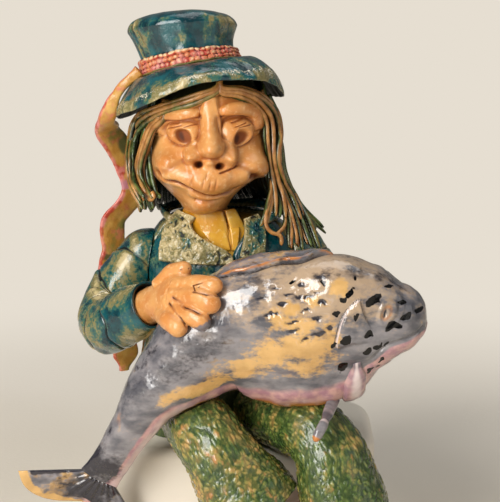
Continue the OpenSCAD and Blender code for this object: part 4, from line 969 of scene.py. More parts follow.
# Height, half width, half depth and middle of the drape
DRAPE = np.array([
    [100, 49, 39, 0, 3], [111, 47, 38, 0, 3], [124, 39, 35, -3, 0], [132, 35, 33.5, HEAD_X, HEAD_Y],
    [146, 32.5, 32, HEAD_X, HEAD_Y], [164, 32.5, 32, HEAD_X, HEAD_Y], [183, 30.5, 31.5, HEAD_X, HEAD_Y],
    [198, 28, 29.5, HEAD_X, HEAD_Y], [207, 26, 28, HEAD_X, HEAD_Y]])


def drape(z):
    """Half sizes and middle of the drape that hair hangs over, by height."""
    return [np.interp(z, DRAPE[:, 0], DRAPE[:, n]) for n in (1, 2, 3, 4)]


def facing_us(x, z, lift):
    """Place on the front of the drape at x and height z, moved out by a lift."""
    a, b, cx, cy = drape(z)
    return vec(x, cy - (b + lift) * dome((x - cx) / (a + lift)), z)


def around(angle, z, lift):
    """Place on the drape at an angle and a height, moved out by a lift."""
    a, b, cx, cy = drape(z)
    return vec(cx + (a + lift) * cos(angle), cy + (b + lift) * sin(angle), z)


def strand(guide, radius, seed, tan):
    """A clay strand: a round section carried along a curve through the guide's places, rounded at its tip."""
    rings, sides = 20 + 6 * len(guide), 10
    f = np.linspace(0, 1, rings)
    sway = vec(f * 12 * len(guide), seed * 9.7, 0)
    wide = radius * (1 + 0.14 * swell(sway, 12, 3)) * np.where(f > 0.93, dome((f - 0.93) / 0.078), 1)
    drift = vec(swell(sway, 17, 5), swell(sway, 17, 7), swell(sway, 17, 9)) * 0.5 * ease(5 * f)[:, None]
    way = smooth(guide, f * (len(guide) - 1)) + drift
    head = unit(np.gradient(way, axis=0))
    out = unit((way - [HEAD_X, HEAD_Y, 0]) * [1, 1, 0])
    out = unit(out - head * (out * head).sum(-1, keepdims=True))
    side = np.cross(head, out)
    a = np.linspace(0, 360, sides, endpoint=False)
    ring = out[:, None] * cos(a)[:, None] + side[:, None] * sin(a)[:, None]
    points = way[:, None] + ring * wide[:, None, None]
    return skin(points, out=0.5 + 0.5 * cos(a), tan=tan)


def lock(place, first, second, count, seed, tan, radius=1.25, lift=0.8, stray=2.5):
    """Strands spread from the first guide to the second, every other one lifted, with their tips strayed."""
    first, second = np.array(first, float), np.array(second, float)
    strands = []
    for k in range(count):
        chance = [lattice(seed, k, n, 77) for n in range(5)]
        guide = mix(first, second, (k + 0.5 * (chance[0] - 0.5)) / max(1, count - 1))
        guide[1:, 2] += k % 2 * lift
        guide[-1, :2] += stray * (np.array(chance[1:3]) - 0.5) * [1, 2]
        wide = radius * (0.85 + 0.3 * chance[3])
        strands.append(strand(place(*guide.T), wide, seed * 50 + k, mix(*tan, chance[4])))
    return strands


# Guides on the front of the drape: x, height and lift of each place, for a lock's first and last strand
FRINGE_RIGHT = [
    [(0.5, 202, 0.3), (-1.6, 195, 0.6), (-12.2, 189, 1), (-20.9, 186.5, 1.2), (-29.1, 183.6, 1.5),
     (-36.6, 178.6, 2.5), (-42.3, 172.9, 4), (-45.9, 166.2, 6), (-47.7, 158.4, 8), (-48.1, 150.6, 9),
     (-46, 144.5, 9), (-42.1, 137.2, 8)],
    [(0, 206, 0.3), (-2.1, 198.7, 0.6), (-14.9, 194.4, 1), (-26.3, 190, 1.5), (-37.1, 185.2, 3),
     (-45, 179.5, 5), (-49.4, 173.4, 8), (-50.9, 165.1, 10.5), (-51.3, 155.1, 12), (-50.1, 145.4, 12),
     (-47.2, 138.7, 11), (-43.2, 133.5, 9)]]
CHEEK_RIGHT = [
    [(-27, 190, 0.4), (-29.2, 181.6, 1.2), (-34.4, 175.3, 2.6), (-38, 166.7, 4), (-41.4, 157.3, 5.2),
     (-42.4, 151.1, 5.6), (-41.2, 144.4, 5.4), (-37.5, 139.2, 5)],
    [(-30, 190, 0.6), (-33.8, 179.7, 1.6), (-39.2, 173.3, 3.6), (-42.7, 165.1, 5.6), (-45, 157.3, 7.4),
     (-45.6, 149.5, 8), (-43.7, 144.1, 7.4), (-39.5, 136.4, 6)]]
KNOB_RIGHT = [(-44, 150, 4), (-42.6, 143, 4), (-40.6, 138.6, 4), (-38, 136.2, 4.5), (-36.2, 138, 4.6),
              (-37.6, 140.2, 5)]
FRINGE_LEFT = [
    [(0, 202, 0.3), (0.5, 195, 0.6), (8.5, 192.7, 0.8), (16, 188.5, 1), (20.9, 182.9, 1.2),
     (23.3, 177.1, 1.5), (24.1, 169.5, 1.8), (25.3, 161.7, 2), (26.4, 153.2, 2.5), (27.2, 144.8, 3),
     (27.5, 137.4, 4), (26.3, 129.2, 5)],
    [(0.6, 206, 0.3), (1.1, 198.6, 0.6), (12.3, 196.9, 1), (22, 192.2, 2), (28.6, 185, 4),
     (32.2, 178.4, 6), (33.3, 169.5, 7.5), (32.4, 162.5, 8), (32.9, 154.7, 8.5), (35.9, 145, 9.5),
     (40.4, 134.9, 11), (46.3, 124.3, 13)]]
LOCK_LEFT = [
    [(22, 188, 0.6), (25, 176, 1), (26.5, 162, 1.6), (28, 150, 2.5), (29.7, 142, 4), (32.4, 133.7, 6),
     (36, 124, 8), (37, 112, 10)],
    [(26, 190, 1), (31, 178, 4), (32, 164, 6), (33.5, 152, 7.5), (37, 142, 9), (42.4, 131.7, 11),
     (49, 121, 14), (54, 109, 16)]]
CURLS_LEFT = [
    [(28.1, 148, 3), (28.1, 145.4, 4), (26.9, 137.9, 5.5), (24.1, 130.2, 7), (21.4, 123.2, 8)],
    [(28.4, 149, 3), (28.6, 146, 4), (28.5, 137.4, 5.5), (26.8, 129.7, 7), (24.6, 123.9, 8)],
    [(29.5, 150, 3), (29.7, 144, 5), (32.4, 133.7, 7), (35.1, 126.6, 9), (34.5, 121.6, 10),
     (30.1, 118.5, 10.5)],
    [(27.4, 146, 4), (26.9, 135.3, 6), (24.6, 129.3, 8), (24.6, 124.1, 9), (27.9, 119.8, 10),
     (32.2, 117.2, 10.5), (33.3, 111.9, 10.5)],
    [(30, 152, 4), (30.3, 145.3, 6), (34.7, 135.6, 9), (38.4, 127.3, 11), (41, 119.2, 13),
     (41.5, 112.4, 14)]]
# Guides round the drape: angle, height and lift
SIDE_RIGHT = [
    [(199, 194, 0.6), (197, 180, 1.3), (199, 164, 2.3), (204, 150, 2.4), (212, 140, 1), (219, 134, 0.5)],
    [(164, 198, 0.4), (163, 184, 1.5), (166, 166, 5), (171, 150, 7), (180, 138, 6), (190, 130, 4)]]
SIDE_LEFT = [
    [(334, 192, 0.5), (338, 178, 1), (340, 160, 2), (340, 146, 4), (336, 132, 6), (330, 116, 8)],
    [(376, 198, 0.4), (378, 182, 2), (374, 164, 7), (367, 146, 9), (358, 130, 12), (350, 116, 15)]]
BACK = [
    [(158, 200, 0), (156, 182, 0.5), (156, 160, 1), (154, 140, 1), (150, 122, 2)],
    [(22, 200, 0), (24, 182, 0.5), (24, 160, 1), (26, 140, 1), (30, 122, 2)]]

fringe_right = lock(facing_us, *FRINGE_RIGHT, 6, 1, (-0.05, 0.6), 1.5, 1.4)
piece("fringe_right", fringe_right, HAIR, "hair_glaze")
fringe_left = lock(facing_us, *FRINGE_LEFT, 7, 2, (-0.1, 0.7), 1.5, 1.4)
piece("fringe_left", fringe_left, HAIR, "hair_glaze")
side_right = lock(around, *SIDE_RIGHT, 11, 3, (-0.4, 0.4), 1.4, stray=5)
cheek_right = lock(facing_us, *CHEEK_RIGHT, 5, 6, (0.2, 0.7), 1.5, 1.2)
knob_right = strand(facing_us(*np.transpose(KNOB_RIGHT)), 1.7, 460, 1.2)
piece("hair_right", side_right + cheek_right + [knob_right], HAIR, "hair_glaze")
side_left = lock(around, *SIDE_LEFT, 12, 4, (-0.1, 0.5))
lock_left = lock(facing_us, *LOCK_LEFT, 8, 7, (0, 0.65), 1.4, 1.3)
curls = [strand(facing_us(*np.transpose(g)), 1.2, 400 + k, 0.35 + 0.1 * k) for k, g in enumerate(CURLS_LEFT)]
piece("hair_left", side_left + lock_left + curls, HAIR, "hair_glaze")
# The back strands lean to the darker green glaze, which stands in for the shade behind the neck
piece("hair_back", lock(around, *BACK, 34, 5, (-0.6, -0.1), 2), HAIR, "hair_glaze")

# Hat

BRIM_THICK, BRIM_FLAT, BRIM_RADIUS, BRIM_OVAL = 4, 32, 47.5, 0.97
CROWN_FOOT, CROWN_RADIUS, RIM_Z, LID_HIGH, CROWN_LEAN = 4.15, 25, 23.04, 8.96, 3.4
BAND_WIDE, ROW_KERNELS = 7, 50
# Angle at which the brim sags most
SAG_AT = 354
# Angle, half width and depth of the thumb's dents in the crown
DENTS = [(190, 5, 1.2), (203, 4, 1.1), (215, 5, 0.9), (232, 6, 0.7), (262, 9, 0.5), (300, 14, 0.9),
         (336, 10, 0.8), (60, 16, 1), (120, 12, 0.9)]


def apart(a, middle):
    """Degrees from a middle angle by the shorter way round."""
    return (a - middle + 180) % 360 - 180


def hat_point(p):
    """Carries points from the hat's own level to its tilted place on the head."""
    x, y, z = np.moveaxis(p, -1, 0)
    y, z = y * cos(HAT_PITCH) + z * sin(HAT_PITCH), z * cos(HAT_PITCH) - y * sin(HAT_PITCH)
    return HAT + vec(x * cos(HAT_ROLL) - z * sin(HAT_ROLL), y, x * sin(HAT_ROLL) + z * cos(HAT_ROLL))


def brim_fall(r, a):
    """How far the brim droops at a radius: a power curve, uneven round the hat, with a sag and waves."""
    k = np.maximum(0, (r - BRIM_FLAT) / (BRIM_RADIUS - BRIM_FLAT))
    sag = 4.5 * k**2 * bell(apart(a, SAG_AT) / 26)
    bend = 1.25 + 1.5 * bell(apart(a, SAG_AT) / 40)
    return 13.5 * k**bend * (1 + 0.12 * cos(a) + 0.25 * cos(2 * (a - 20))) + 0.8 * k * sin(5 * a) + sag


def brim_skin():
    """Brim: a flat section with a swollen, frayed edge, carried round the hat and drooped."""
    flats, bends, swollen = 44, 10, 1.6
    a = np.linspace(0, 360, 420, endpoint=False)[:, None]
    turn = np.linspace(-80, 80, bends)
    f = np.concatenate([np.linspace(0, 1, flats), np.ones(bends), np.linspace(1, 0, flats)])
    bow = np.concatenate([np.zeros(flats), turn, np.zeros(flats)])
    level = np.concatenate([np.zeros(flats), 0.5 + 0.5 * sin(turn), np.ones(flats)])
    r = mix(20, BRIM_RADIUS - swollen, f) + np.where(level * (1 - level) > 0, swollen * cos(bow), 0)
    edge = ease((r - 39) / 8)
    flat = vec(r * cos(a), BRIM_OVAL * r * sin(a), BRIM_THICK * level)
    fray = lumps(flat, 5, 71) * edge
    crumbs = crumbled(flat * 1.7, 73) * edge
    sagging = bell(apart(a, SAG_AT) / 40)
    thick = BRIM_THICK * level * (1 + 0.2 * fray + 0.5 * edge * sagging)
    thick = thick + np.where(level > 0.3, 0.9 * crumbs + 0.6 * lumps(flat, 12, 75), 0)
    out = r * (1 + 0.016 * fray)
    shift = (2 - 2.2 * sagging) * np.maximum(0, r - BRIM_FLAT) / (BRIM_RADIUS - BRIM_FLAT)
    points = vec(out * cos(a) + shift, BRIM_OVAL * out * sin(a), thick - brim_fall(r, a))
    rim = ease((r - 43) / 3.5) * ease(level * 4)
    worn = rim * (0.2 + 0.25 * lumps(flat, 6, 77)) + 0.05 + 0.2 * lumps(flat, 9, 79)
    salt = bell((r - 45.8) / 2.3) * ease(level * 3) * (0.92 + 0.45 * lumps(flat, 9, 78))
    # The brim's underside takes painted shade
    return skin(hat_point(points), "loop", thin=worn, salt=salt, deep=1 - ease(level * 3))


piece("hat_brim", brim_skin(), TEAL, "teal_glaze")


def crown_side(z):
    """Radius of the crown's wall: straight under the band, then flaring to the rim."""
    return CROWN_RADIUS + 4.5 * (np.maximum(0, z - BAND_WIDE) / (RIM_Z - BAND_WIDE)) ** 1.6


def crown_skin():
    """Crown: its wall and domed lid turned round the axis and leaned over, with thumb dents in the wall."""
    a = np.linspace(0, 360, 260, endpoint=False)
    wall = np.linspace(0, RIM_Z, 80)
    lid = np.linspace(0, 88, 46)[1:]
    r = np.concatenate([crown_side(wall), crown_side(RIM_Z) * cos(lid) ** 0.55])[:, None]
    z = np.concatenate([wall, RIM_Z + LID_HIGH * sin(lid)])[:, None]
    flat = vec(r * cos(a), r * sin(a), z)
    dents = sum(depth * bell(apart(a, middle) / wide) for middle, wide, depth in DENTS)
    dents = dents * ease((z - 6) / 6) * ease((29 - z) / 4)
    rise = -dents + 0.7 * lumps(flat, 15, 81, 3) * ease(z / 8)
    out = unit(vec(cos(a), sin(a), 0.6 * ease((z - RIM_Z) / 5)))
    points = flat + out * rise[..., None]
    above = ease((points[..., 2] - BAND_WIDE - 1) / (RIM_Z - BAND_WIDE))
    points[..., 2] += CROWN_FOOT - CROWN_LEAN * points[..., 0] / CROWN_RADIUS * above
    rim = bell((z - RIM_Z - 2.5) / 2.5) * (0.1 + 0.25 * lumps(flat, 7, 83))
    ridges = 0.3 * np.clip(-hollows(rise, 12), 0, 1)
    streaks = 0.02 + 0.26 * lumps(flat * [1, 1, 0.4], 8, 85) + 0.14 * bell((a - 205) / 22)
    # Painted shade in the crown's dents
    return skin(hat_point(points), thin=rim + ridges + streaks, deep=np.clip(hollows(rise, 20) * 1.4, 0, 1))


piece("hat_crown", crown_skin(), TEAL, "teal_glaze")


def band_skin():
    """Hat band: three rows of knitted kernels round the crown over a plain roll, each a small uneven dome."""
    front, behind = 44, 8
    a = np.linspace(0, 360, 800, endpoint=False)[:, None]
    f = np.concatenate([np.linspace(0, 1, front), np.linspace(1, 0, behind)])
    face = np.concatenate([np.ones(front), np.zeros(behind)])
    ring = vec(27 * cos(a), 27 * sin(a), 0)
    high = BAND_WIDE + 1.4 - 1.6 * cos(a - 20) + 0.7 * swell(ring, 4, 90)
    z = mix(0.2, high, f) + 0.35 * swell(ring, 5, 91)
    g = np.clip((f - 0.16) / 0.84, 0, 1)
    row = np.clip(g * 3 + 0.22 * swell(vec(a / 6, 7 * g, 0), 2.2, 92), 0, 2.999)
    stray = swell(vec(a / 6, np.floor(row) * 9, 0), 2, 93)
    kernel = a / 360 * ROW_KERNELS + 0.5 * (np.floor(row) % 2) + 0.3 * stray
    across, up = np.abs((kernel % 1) * 2 - 1), np.abs((row % 1) * 2 - 1)
    bit = np.floor(kernel).astype(np.int64) % ROW_KERNELS, np.floor(row).astype(np.int64), 0
    shade, big, light = (lattice(*bit, seed) for seed in (95, 96, 97))
    knob = dome(np.clip(np.hypot(across, up) / mix(0.95, 1.35, big), 0, 1)) * (f > 0.16)
    plain = bell((f - 0.07) / 0.09)
    under = (2 + 2 * (1 - f) ** 2) * (0.35 + 0.65 * rounded(f, 0.12)) * 0.75
    r = crown_side(np.clip(z, 0, RIM_Z)) + 0.15 + face * (under + mix(0.8, 1.5, big) * knob + 0.9 * plain)
    points = vec(r * cos(a), r * sin(a), z + CROWN_FOOT)
    pale = ease((f - 0.8) / 0.15) * (0.3 + 0.7 * light)
    marks = {"high": np.maximum(knob, plain) * face, "shade": shade, "pale": pale, "olive": plain * face}
    return skin(hat_point(points), "loop", **marks)


piece("hat_band", band_skin(), BAND, "band_glaze")

RIBBON_WIDE, RIBBON_THICK = 15, 3


def on_brim(r, lift, a):
    """A place over the drooping brim, at a radius and an angle round the hat."""
    return hat_point(vec(r * cos(a), BRIM_OVAL * r * sin(a), lift - brim_fall(r, a)))


# Over the brim, down behind the shoulder and out again under the elbow
RIBBON_ROUTE = np.array([
    on_brim(30, 8.3, 206), on_brim(41, 8, 194), on_brim(50.5, 6.2, 182), [-63, 6, 169], [-58, 13, 159],
    [-53.5, 17, 147], [-50, 18, 131], [-61.5, 17, 115], [-61.5, 17, 98], [-65, 17, 84], [-62, 19, 58],
    [-56, 22, 39], [-57, 24, 26]])


def ribbon_skin():
    """Hat ribbon: a soft-edged strip carried along its route, turned flat behind the shoulder."""
    t = np.linspace(0, len(RIBBON_ROUTE) - 1, 260)
    p = smooth(RIBBON_ROUTE, t)
    way = unit(smooth(RIBBON_ROUTE, t + 0.05) - smooth(RIBBON_ROUTE, t - 0.05))
    lie = mix(np.array([0.5, -0.1, -0.85]), np.array([0.85, 0.52, 0]), ease((t - 0.9) / 1.8)[:, None])
    wide = unit(lie - way * (lie * way).sum(-1, keepdims=True))
    out = np.cross(way, wide)
    a = np.linspace(0, 360, 44, endpoint=False)[None, :, None]
    grow = mix(0.36, 1, ease((t - 0.6) / 3)) - 0.6 * ease((t - 11.2) / 0.8)
    half = RIBBON_WIDE / 2 * (grow + 0.06 * swell(vec(t * 9, 0, 0), 5, 97))[:, None, None]
    thick = (RIBBON_THICK / 2 * (1 + 0.5 * bell((t - 2) / 1.2)))[:, None, None]
    points = p[:, None] + wide[:, None] * half * power(cos(a), 0.7)
    points = points + out[:, None] * thick * power(sin(a), 0.6)
    rise = 0.5 * lumps(points, 9, 99)
    across, t = power(cos(a[..., 0]), 0.7), t[:, None]
    red = 0.75 * ease((-across - 0.5) / 0.4) + 0.9 * bell((t - 5.05) / 0.22) + 0.7 * bell((t - 9) / 0.3)
    red = red + 0.4 * bell((t - 6.6) / 0.4)
    # olive: painted shade under the brim round t = 4.1, and an olive patch round t = 8.3
    olive = ease(across + 0.6) * bell((t - 4.1) / 0.55) + 0.8 * bell((t - 8.3) / 0.25)
    return skin(raised(points, rise), red=red, olive=olive, pink=bell((t - 5.6) / 0.25))


piece("hat_ribbon", ribbon_skin(), RIBBON, "ribbon_glaze")

# Fish

# Middle, half height and half thickness along the fish, from the nose to the root of its tail
FISH_ROWS = np.array([
    [0.5, 2, 0.585, 0.12, 0.17], [0.465, 2, 0.59, 0.215, 0.29], [0.401, 2, 0.59, 0.285, 0.38],
    [0.308, 4, 0.56, 0.39, 0.45], [0.169, 6, 0.53, 0.50, 0.50], [0.006, 8, 0.505, 0.495, 0.50],
    [-0.134, 8, 0.43, 0.42, 0.46], [-0.233, 6, 0.26, 0.31, 0.38], [-0.326, 4, 0.06, 0.22, 0.29],
    [-0.395, 4, -0.18, 0.155, 0.20], [-0.459, 6, -0.42, 0.13, 0.13], [-0.5, 8, -0.56, 0.14, 0.10]]
) * [172, 1, 78, 78, 50] + [21, -74, 34, 0, 0]
FISH_SIDE = np.array([0, -cos(14), -sin(14)])


def fish_frame(u):
    """Row, heading and the two cross directions of the fish at a place."""
    u = np.maximum(u, 0)
    r = smooth(FISH_ROWS, u)
    way = unit((smooth(FISH_ROWS, u + 0.1) - smooth(FISH_ROWS, u - 0.1))[..., :3])
    side = unit(FISH_SIDE - way * (way @ FISH_SIDE)[..., None])
    return r, way, side, np.cross(way, side)


def fish_at(u, a):
    """Fish: ellipses along its bowed middle line, with a = 0 on the near side and 90 on the back.
    A u below 0 rounds the nose."""
    r, way, side, up = fish_frame(u)
    nose = np.clip(-np.asarray(u), 0, 1)[..., None]
    shrink = np.sqrt(1 - nose)
    thin_end = 1 - 0.62 * ease((u - 10) / 1)[..., None]
    return r[..., :3] - way * 2.4 * nose + shrink * (
        side * r[..., 4:5] * thin_end * cos(a)[..., None] + up * r[..., 3:4] * sin(a)[..., None])


def fish_map(u, a):
    """Millimetres along the fish and round it, for laying out marks on its flank."""
    steps = np.linalg.norm(np.diff(FISH_ROWS[:, :3], axis=0), axis=1)
    x = np.interp(u, np.arange(len(FISH_ROWS)), np.r_[0, np.cumsum(steps)])
    r = smooth(FISH_ROWS, np.maximum(u, 0))
    return x, np.radians(a) * (r[..., 3] + r[..., 4]) / 2


def flank(u, a):
    """One place on the map of the flank."""
    return fish_map(np.float64(u), np.float64(a))


def trail(route):
    """A route on the map of the flank."""
    return [flank(*place) for place in route]


# Marks as places along and round the fish; spots and ochre clouds also have half sizes
SPOTS = [(2.45, 46, 3.8, 2.5), (3.16, 51, 3, 2.2), (3.32, 43, 2.2, 1.7), (3.02, 27, 2.5, 1.9),
         (3.32, 6, 3.6, 2.8), (3.58, 1, 2, 1.4), (1.9, 14, 3.4, 2.6), (2.66, 8, 2.6, 2),
         (2.48, -9, 2.5, 1.9), (2.2, -9.5, 2.3, 1.6), (2.8, -13, 2.1, 1.8), (2.5, -31, 1.6, 2.2),
         (2.66, -43, 1.5, 1.2), (2.84, -40, 1.4, 1.1), (2.3, -52, 1.6, 1.3), (1.3, -46, 2.4, 1.4),
         (3.46, -23, 3.2, 2.6), (1.36, 32, 2.6, 2), (0.57, 47, 2.2, 1.8), (2.1, 65, 1.5, 1),
         (1.6, 52, 1.9, 1.4), (3.72, 58, 2.2, 1.3), (3.5, 28, 1.7, 1.2), (4.32, 59, 2.1, 1.1),
         (3.05, 66, 2, 1.3)]
GILL = [(2.84, 46), (2.98, 42.5), (3.2, 34), (3.36, 23), (3.46, 12), (3.52, 3), (3.5, -5)]
JAW = [(-0.4, 18), (0.01, 10), (0.37, -1), (1.05, -6), (1.7, -10), (2.38, -16), (2.86, -27)]
OCHRE = [(4.3, 2, 13, 9), (3.95, -3, 13, 9), (3.66, 7, 7, 10), (4.2, -15, 12, 7), (3.42, 54, 5, 5),
         (4.18, 21, 9, 6), (4.6, 24, 9, 6), (4.36, 34, 8, 4), (4.0, 40, 8, 4)]
BAND_OF_OCHRE = [(4.75, -4), (5.03, -9), (5.3, -14), (5.65, -19), (6.3, -25), (6.85, -25), (7.25, -24),
                 (7.7, -14), (8.3, -4)]
FLECKS = [(4.42, 45), (4.22, 43), (4.02, 42), (4.74, 29), (4.34, 23), (4.38, 16), (4.16, 8), (3.88, 26),
          (3.64, 17), (3.88, 12), (3.82, 48), (3.76, 40), (4.56, 37), (4.08, 31), (4.62, 52), (4.9, 44),
          (4.15, 54)]
FISH_EYE = 2.08, 33


def fish_plump(u, a):
    """How far the nape and the belly swell beyond the plain fish."""
    nape = ease((u - 1.5) / 0.9) * ease((4.3 - u) / 1.1) * ease((sin(a) - 0.4) / 0.55)
    belly = ease((u - 2.6) / 0.7) * ease((6.2 - u) / 1.6) * ease((-sin(a) - 0.35) / 0.6)
    return 6.5 * nape + 5.5 * belly


def gill_relief(x, y):
    """Relief of the gill cover, which ends in a step, with its pale rim, a painted highlight, and the dark
    slit behind it, painted shade.
    """
    d, s = nearest(x, y, trail(GILL))
    line = smooth(trail(GILL), s * (len(GILL) - 1))[..., 0]
    ends = np.minimum(s, 1 - s)
    cover = ease((line - x) / 1.6 + 0.5) * ease(6 * ends) * bell(np.maximum(0, d - 3) / 9)
    rim = bell(d / 0.45) * ease(8 * ends)
    slit = bell((d - 0.95) / 0.45) * (x > line) * ease(6 * ends)
    return 2.2 * cover * (d < 22), rim, slit


def jaw_relief(u, x, y):
    """Relief of the mouth's line and of the jaw that swells under it, with the share of the jaw."""
    d, s = nearest(x, y, trail(JAW))
    line = smooth(trail(JAW), s * (len(JAW) - 1))[..., 1]
    cut = 1.5 * bell(d / 0.8) * ease(12 * (1 - s)) * ease((u + 0.3) / 0.9)
    jaw = ease((line - y) / 3) * ease((3.1 - u) * 4)
    return 0.9 * jaw * bell((d - 5) / 6) - cut, jaw


def eye_relief(x, y):
    """Relief of the eye, a dome in a coil with a slot pressed in, with its orange, its coil and its pupil."""
    x, y = x - flank(*FISH_EYE)[0], y - flank(*FISH_EYE)[1]
    eye = np.hypot((x + 0.2 * y) / 3.2, y / 5.2)
    coil = bell((eye - 1) / 0.24) + 0.6 * bell((eye - 1.75) / 0.22) * ease((2 - x) / 3)
    off = x + 0.25 * y - 0.6
    rise = 1.1 * coil + 1.2 * dome(eye) - 1.5 * bell(off / 0.8) * bell(y / 2.6)
    return rise, bell((eye - 0.55) / 0.3), coil, bell(off / 0.7) * bell(y / 2.4)


def off_mark(chart, u, a, wide, tall, tilt=0):
    """Distance from a mark's middle on the flank, in half sizes of a tilted oval. The chart holds places
    that stray along and round the flank, which makes the marks' rims ragged, and the plain place round it."""
    x, y, plain = chart
    mx, my = flank(u, a)
    return np.hypot((x - mx + tilt * (plain - my)) / wide, (y - my) / tall)


def ochre_paint(chart, x, y):
    """Ochre in oval clouds, and in a belt along the flank that narrows to the tail."""
    flat = vec(x, y, 0)
    d, s = nearest(x, y, trail(BAND_OF_OCHRE))
    belt = bell((d + 1.5 * lumps(flat, 9, 108)) / mix(9, 3, s)) * ease(5 * (1 - s) + 0.2)
    belt = belt * np.clip(0.95 + 0.3 * lumps(flat, 10, 109), 0, 1)
    return np.maximum(bell(np.min([off_mark(chart, *mark) for mark in OCHRE], 0)), belt)


def dark_paint(u, near, base):
    """Dark at the root of the tail, along the back and in two shades on the hind flank."""
    root = bell((u - 10.4) / 0.8) * ease((near + 60) / 50) * (0.95 + 0.4 * lumps(base, 6, 114))
    back = (0.2 + 0.35 * lumps(base * [0.5, 1, 1], 5, 112)) * ease((near - 48) / 14) * ease((u - 0.3) / 1.2)
    shade = 0.45 * bell((u - 6.6) / 1.5) * bell((near - 15) / 22)
    shade = shade + 0.3 * bell((u - 8) / 1.2) * bell((near - 50) / 25)
    return np.max([0.85 * root, back, shade], 0)


def orange_paint(u, near, base, iris):
    """Orange on the hind flank, round the pupil, along the belly and at the root of the tail."""
    hind = 0.45 * bell((u - 8.8) / 0.3) * ease(0.3 + lumps(base, 6, 109)) + 0.5 * iris
    belly = np.clip(0.55 + 0.8 * lumps(base, 12, 106), 0, 0.8) * bell((near + 62) / 11)
    belly = belly * ease((u - 2.9) * 2) * ease(8.5 - u)
    root = 0.4 * bell((u - 10.3) / 0.5) * ease(0.2 + lumps(base, 5, 110))
    return np.max([hind, belly, root], 0)


def fish_skin():
    """Fish body: the plain fish raised by gill covers, eyes, lips and pressed flecks, with its paint."""
    u = np.concatenate([
        np.linspace(-0.98, 0, 16, endpoint=False), np.linspace(0, 2.2, 58, endpoint=False),
        np.linspace(2.2, 4.8, 170, endpoint=False), np.linspace(4.8, 11, 140)])[:, None]
    u, a = np.broadcast_arrays(u, np.linspace(-180, 180, 250, endpoint=False))
    near = np.where(np.abs(a) > 90, np.sign(a) * 180 - a, a)
    near = np.where(a == -180, 0, near)
    base = fish_at(u, a)
    x, y = fish_map(u, near)
    gill, rim, slit = gill_relief(x, y)
    lips, jaw = jaw_relief(u, x, y)
    socket, iris, coil, pupil = eye_relief(x, y)
    flat = vec(x, y, 0)
    chart = x + 1.3 * lumps(flat, 4, 105), y + 1.3 * lumps(flat, 4, 107), y
    spot = bell(np.min([off_mark(chart, *mark, 0.35) for mark in SPOTS], 0) ** 2)
    lengths = [2.4 + 1.6 * lattice(k, 1, 2, 3) for k in range(len(FLECKS))]
    off = np.array([off_mark(chart, *mark, long, 1.2, 0.4) for mark, long in zip(FLECKS, lengths)])
    flecks, rims = bell(off.min(0) ** 1.5), bell((off - 1.7) / 0.45).max(0)
    rise = 0.8 * lumps(base, 18, 101, 2) + 0.25 * lumps(base, 6, 103, 2) + gill + fish_plump(u, a)
    rise = rise + lips + socket - 0.35 * spot - 0.9 * flecks
    beige = bell((x - flank(3.9, 0)[0]) / 45) * ease((near - 5) / 30)
    pink = ease((-y / fish_map(u, 70)[1] - 0.38) / 0.35) + jaw * 0.9
    pink = pink + 0.9 * ease((u - 7) / 1.5) * ease((-near - 8) / 25)
    # The slit behind the gill cover is painted shade
    dark = np.max([dark_paint(u, near, base), 0.8 * flecks, 0.8 * pupil, 0.7 * slit], 0)
    # pale: the gill cover's rim as a painted highlight, the flecks' rims partly beige and partly painted
    # glints, the lower hind flank and the eye's coil
    pale = 0.6 * ease((u - 6.5) / 1.5) * ease((-near - 12) / 30) + 1.1 * rim + 0.45 * rims * (1 - flecks)
    return skin(raised(base, rise), spot=spot, ochre=ochre_paint(chart, x, y), pink=np.clip(pink, 0, 1),
                dark=dark, beige=beige, orange=orange_paint(u, near, base, iris), pale=pale + 0.25 * coil)


piece("fish_body", fish_skin(), FISH, "fish_glaze", "fish_gill_cover_front",
      "fish_gill_cover_back", "fish_eyes", "fish_lower_jaw")

END, END_WAY, END_SIDE, END_UP = fish_frame(np.float64(11))
FAN, FAN_TURN, TAIL_LONG = 60, 58, 35


def tail_fan(u, v):
    """Tail fin's middle sheet: rays that fan out from the root, longest at the two tips, gently curled."""
    t = v / FAN
    turn = (FAN_TURN * t)[..., None]
    reach = (TAIL_LONG * (0.5 + 0.5 * ease(np.abs(t) / 0.85)))[..., None]
    root = END[:3] + END_WAY * 0.25 + END_UP * END[3] * 0.9 * t[..., None]
    curl = END_SIDE * (2 * u * u * sin(150 * t))[..., None]
    return root + u[..., None] * reach * (END_WAY * cos(turn) + END_UP * sin(turn)) + curl


def tail_thick(s, t, p):
    """Thickness of the tail: thinner to its edge, ribbed along its rays."""
    rays = 1 + 0.12 * sin(360 * 9 * t)
    return 3 * (1 - 0.45 * s) * (0.6 + 0.4 * sin(180 * t)) * rays + 0.25 * lumps(p, 5, 111)


def tail_ochre(s, t, p):
    """Ochre along the tail's rim, and in clouds."""
    return 1.1 * ease((s - 0.83 + 0.05 * lumps(p, 6, 116)) / 0.12) + 0.3 + 0.4 * lumps(p, 6, 114)


def tail_dark(s, t, p):
    """Dark clouds inside the tail's rim, and a dark upper edge."""
    clouds = 0.5 * bell((t - 0.5) / 0.2) * (1 - s) + 0.35 + 0.4 * lumps(p, 8, 113)
    return (clouds + 0.6 * ease((t - 0.95) / 0.04)) * ease((0.86 - s) / 0.08)


tail = slab(tail_fan, lambda s, t: (s, mix(-FAN, FAN, t)), tail_thick, -1.5, 70, 130, 0.5,
            ochre=tail_ochre, dark=tail_dark,
            orange=lambda s, t, p: 0.5 * bell((t - 0.62) / 0.05) * ease(1 - s) + 0.25 * lumps(p, 7, 115),
            pink=lambda s, t, p: 0.7 * bell((t - 0.45) / 0.1) * ease(2 * s))
piece("fish_tail_fin", tail, FISH, "fish_glaze")

DORSAL_EDGE = [[102], [92], [84], [80], [77], [74], [74], [76], [84]]


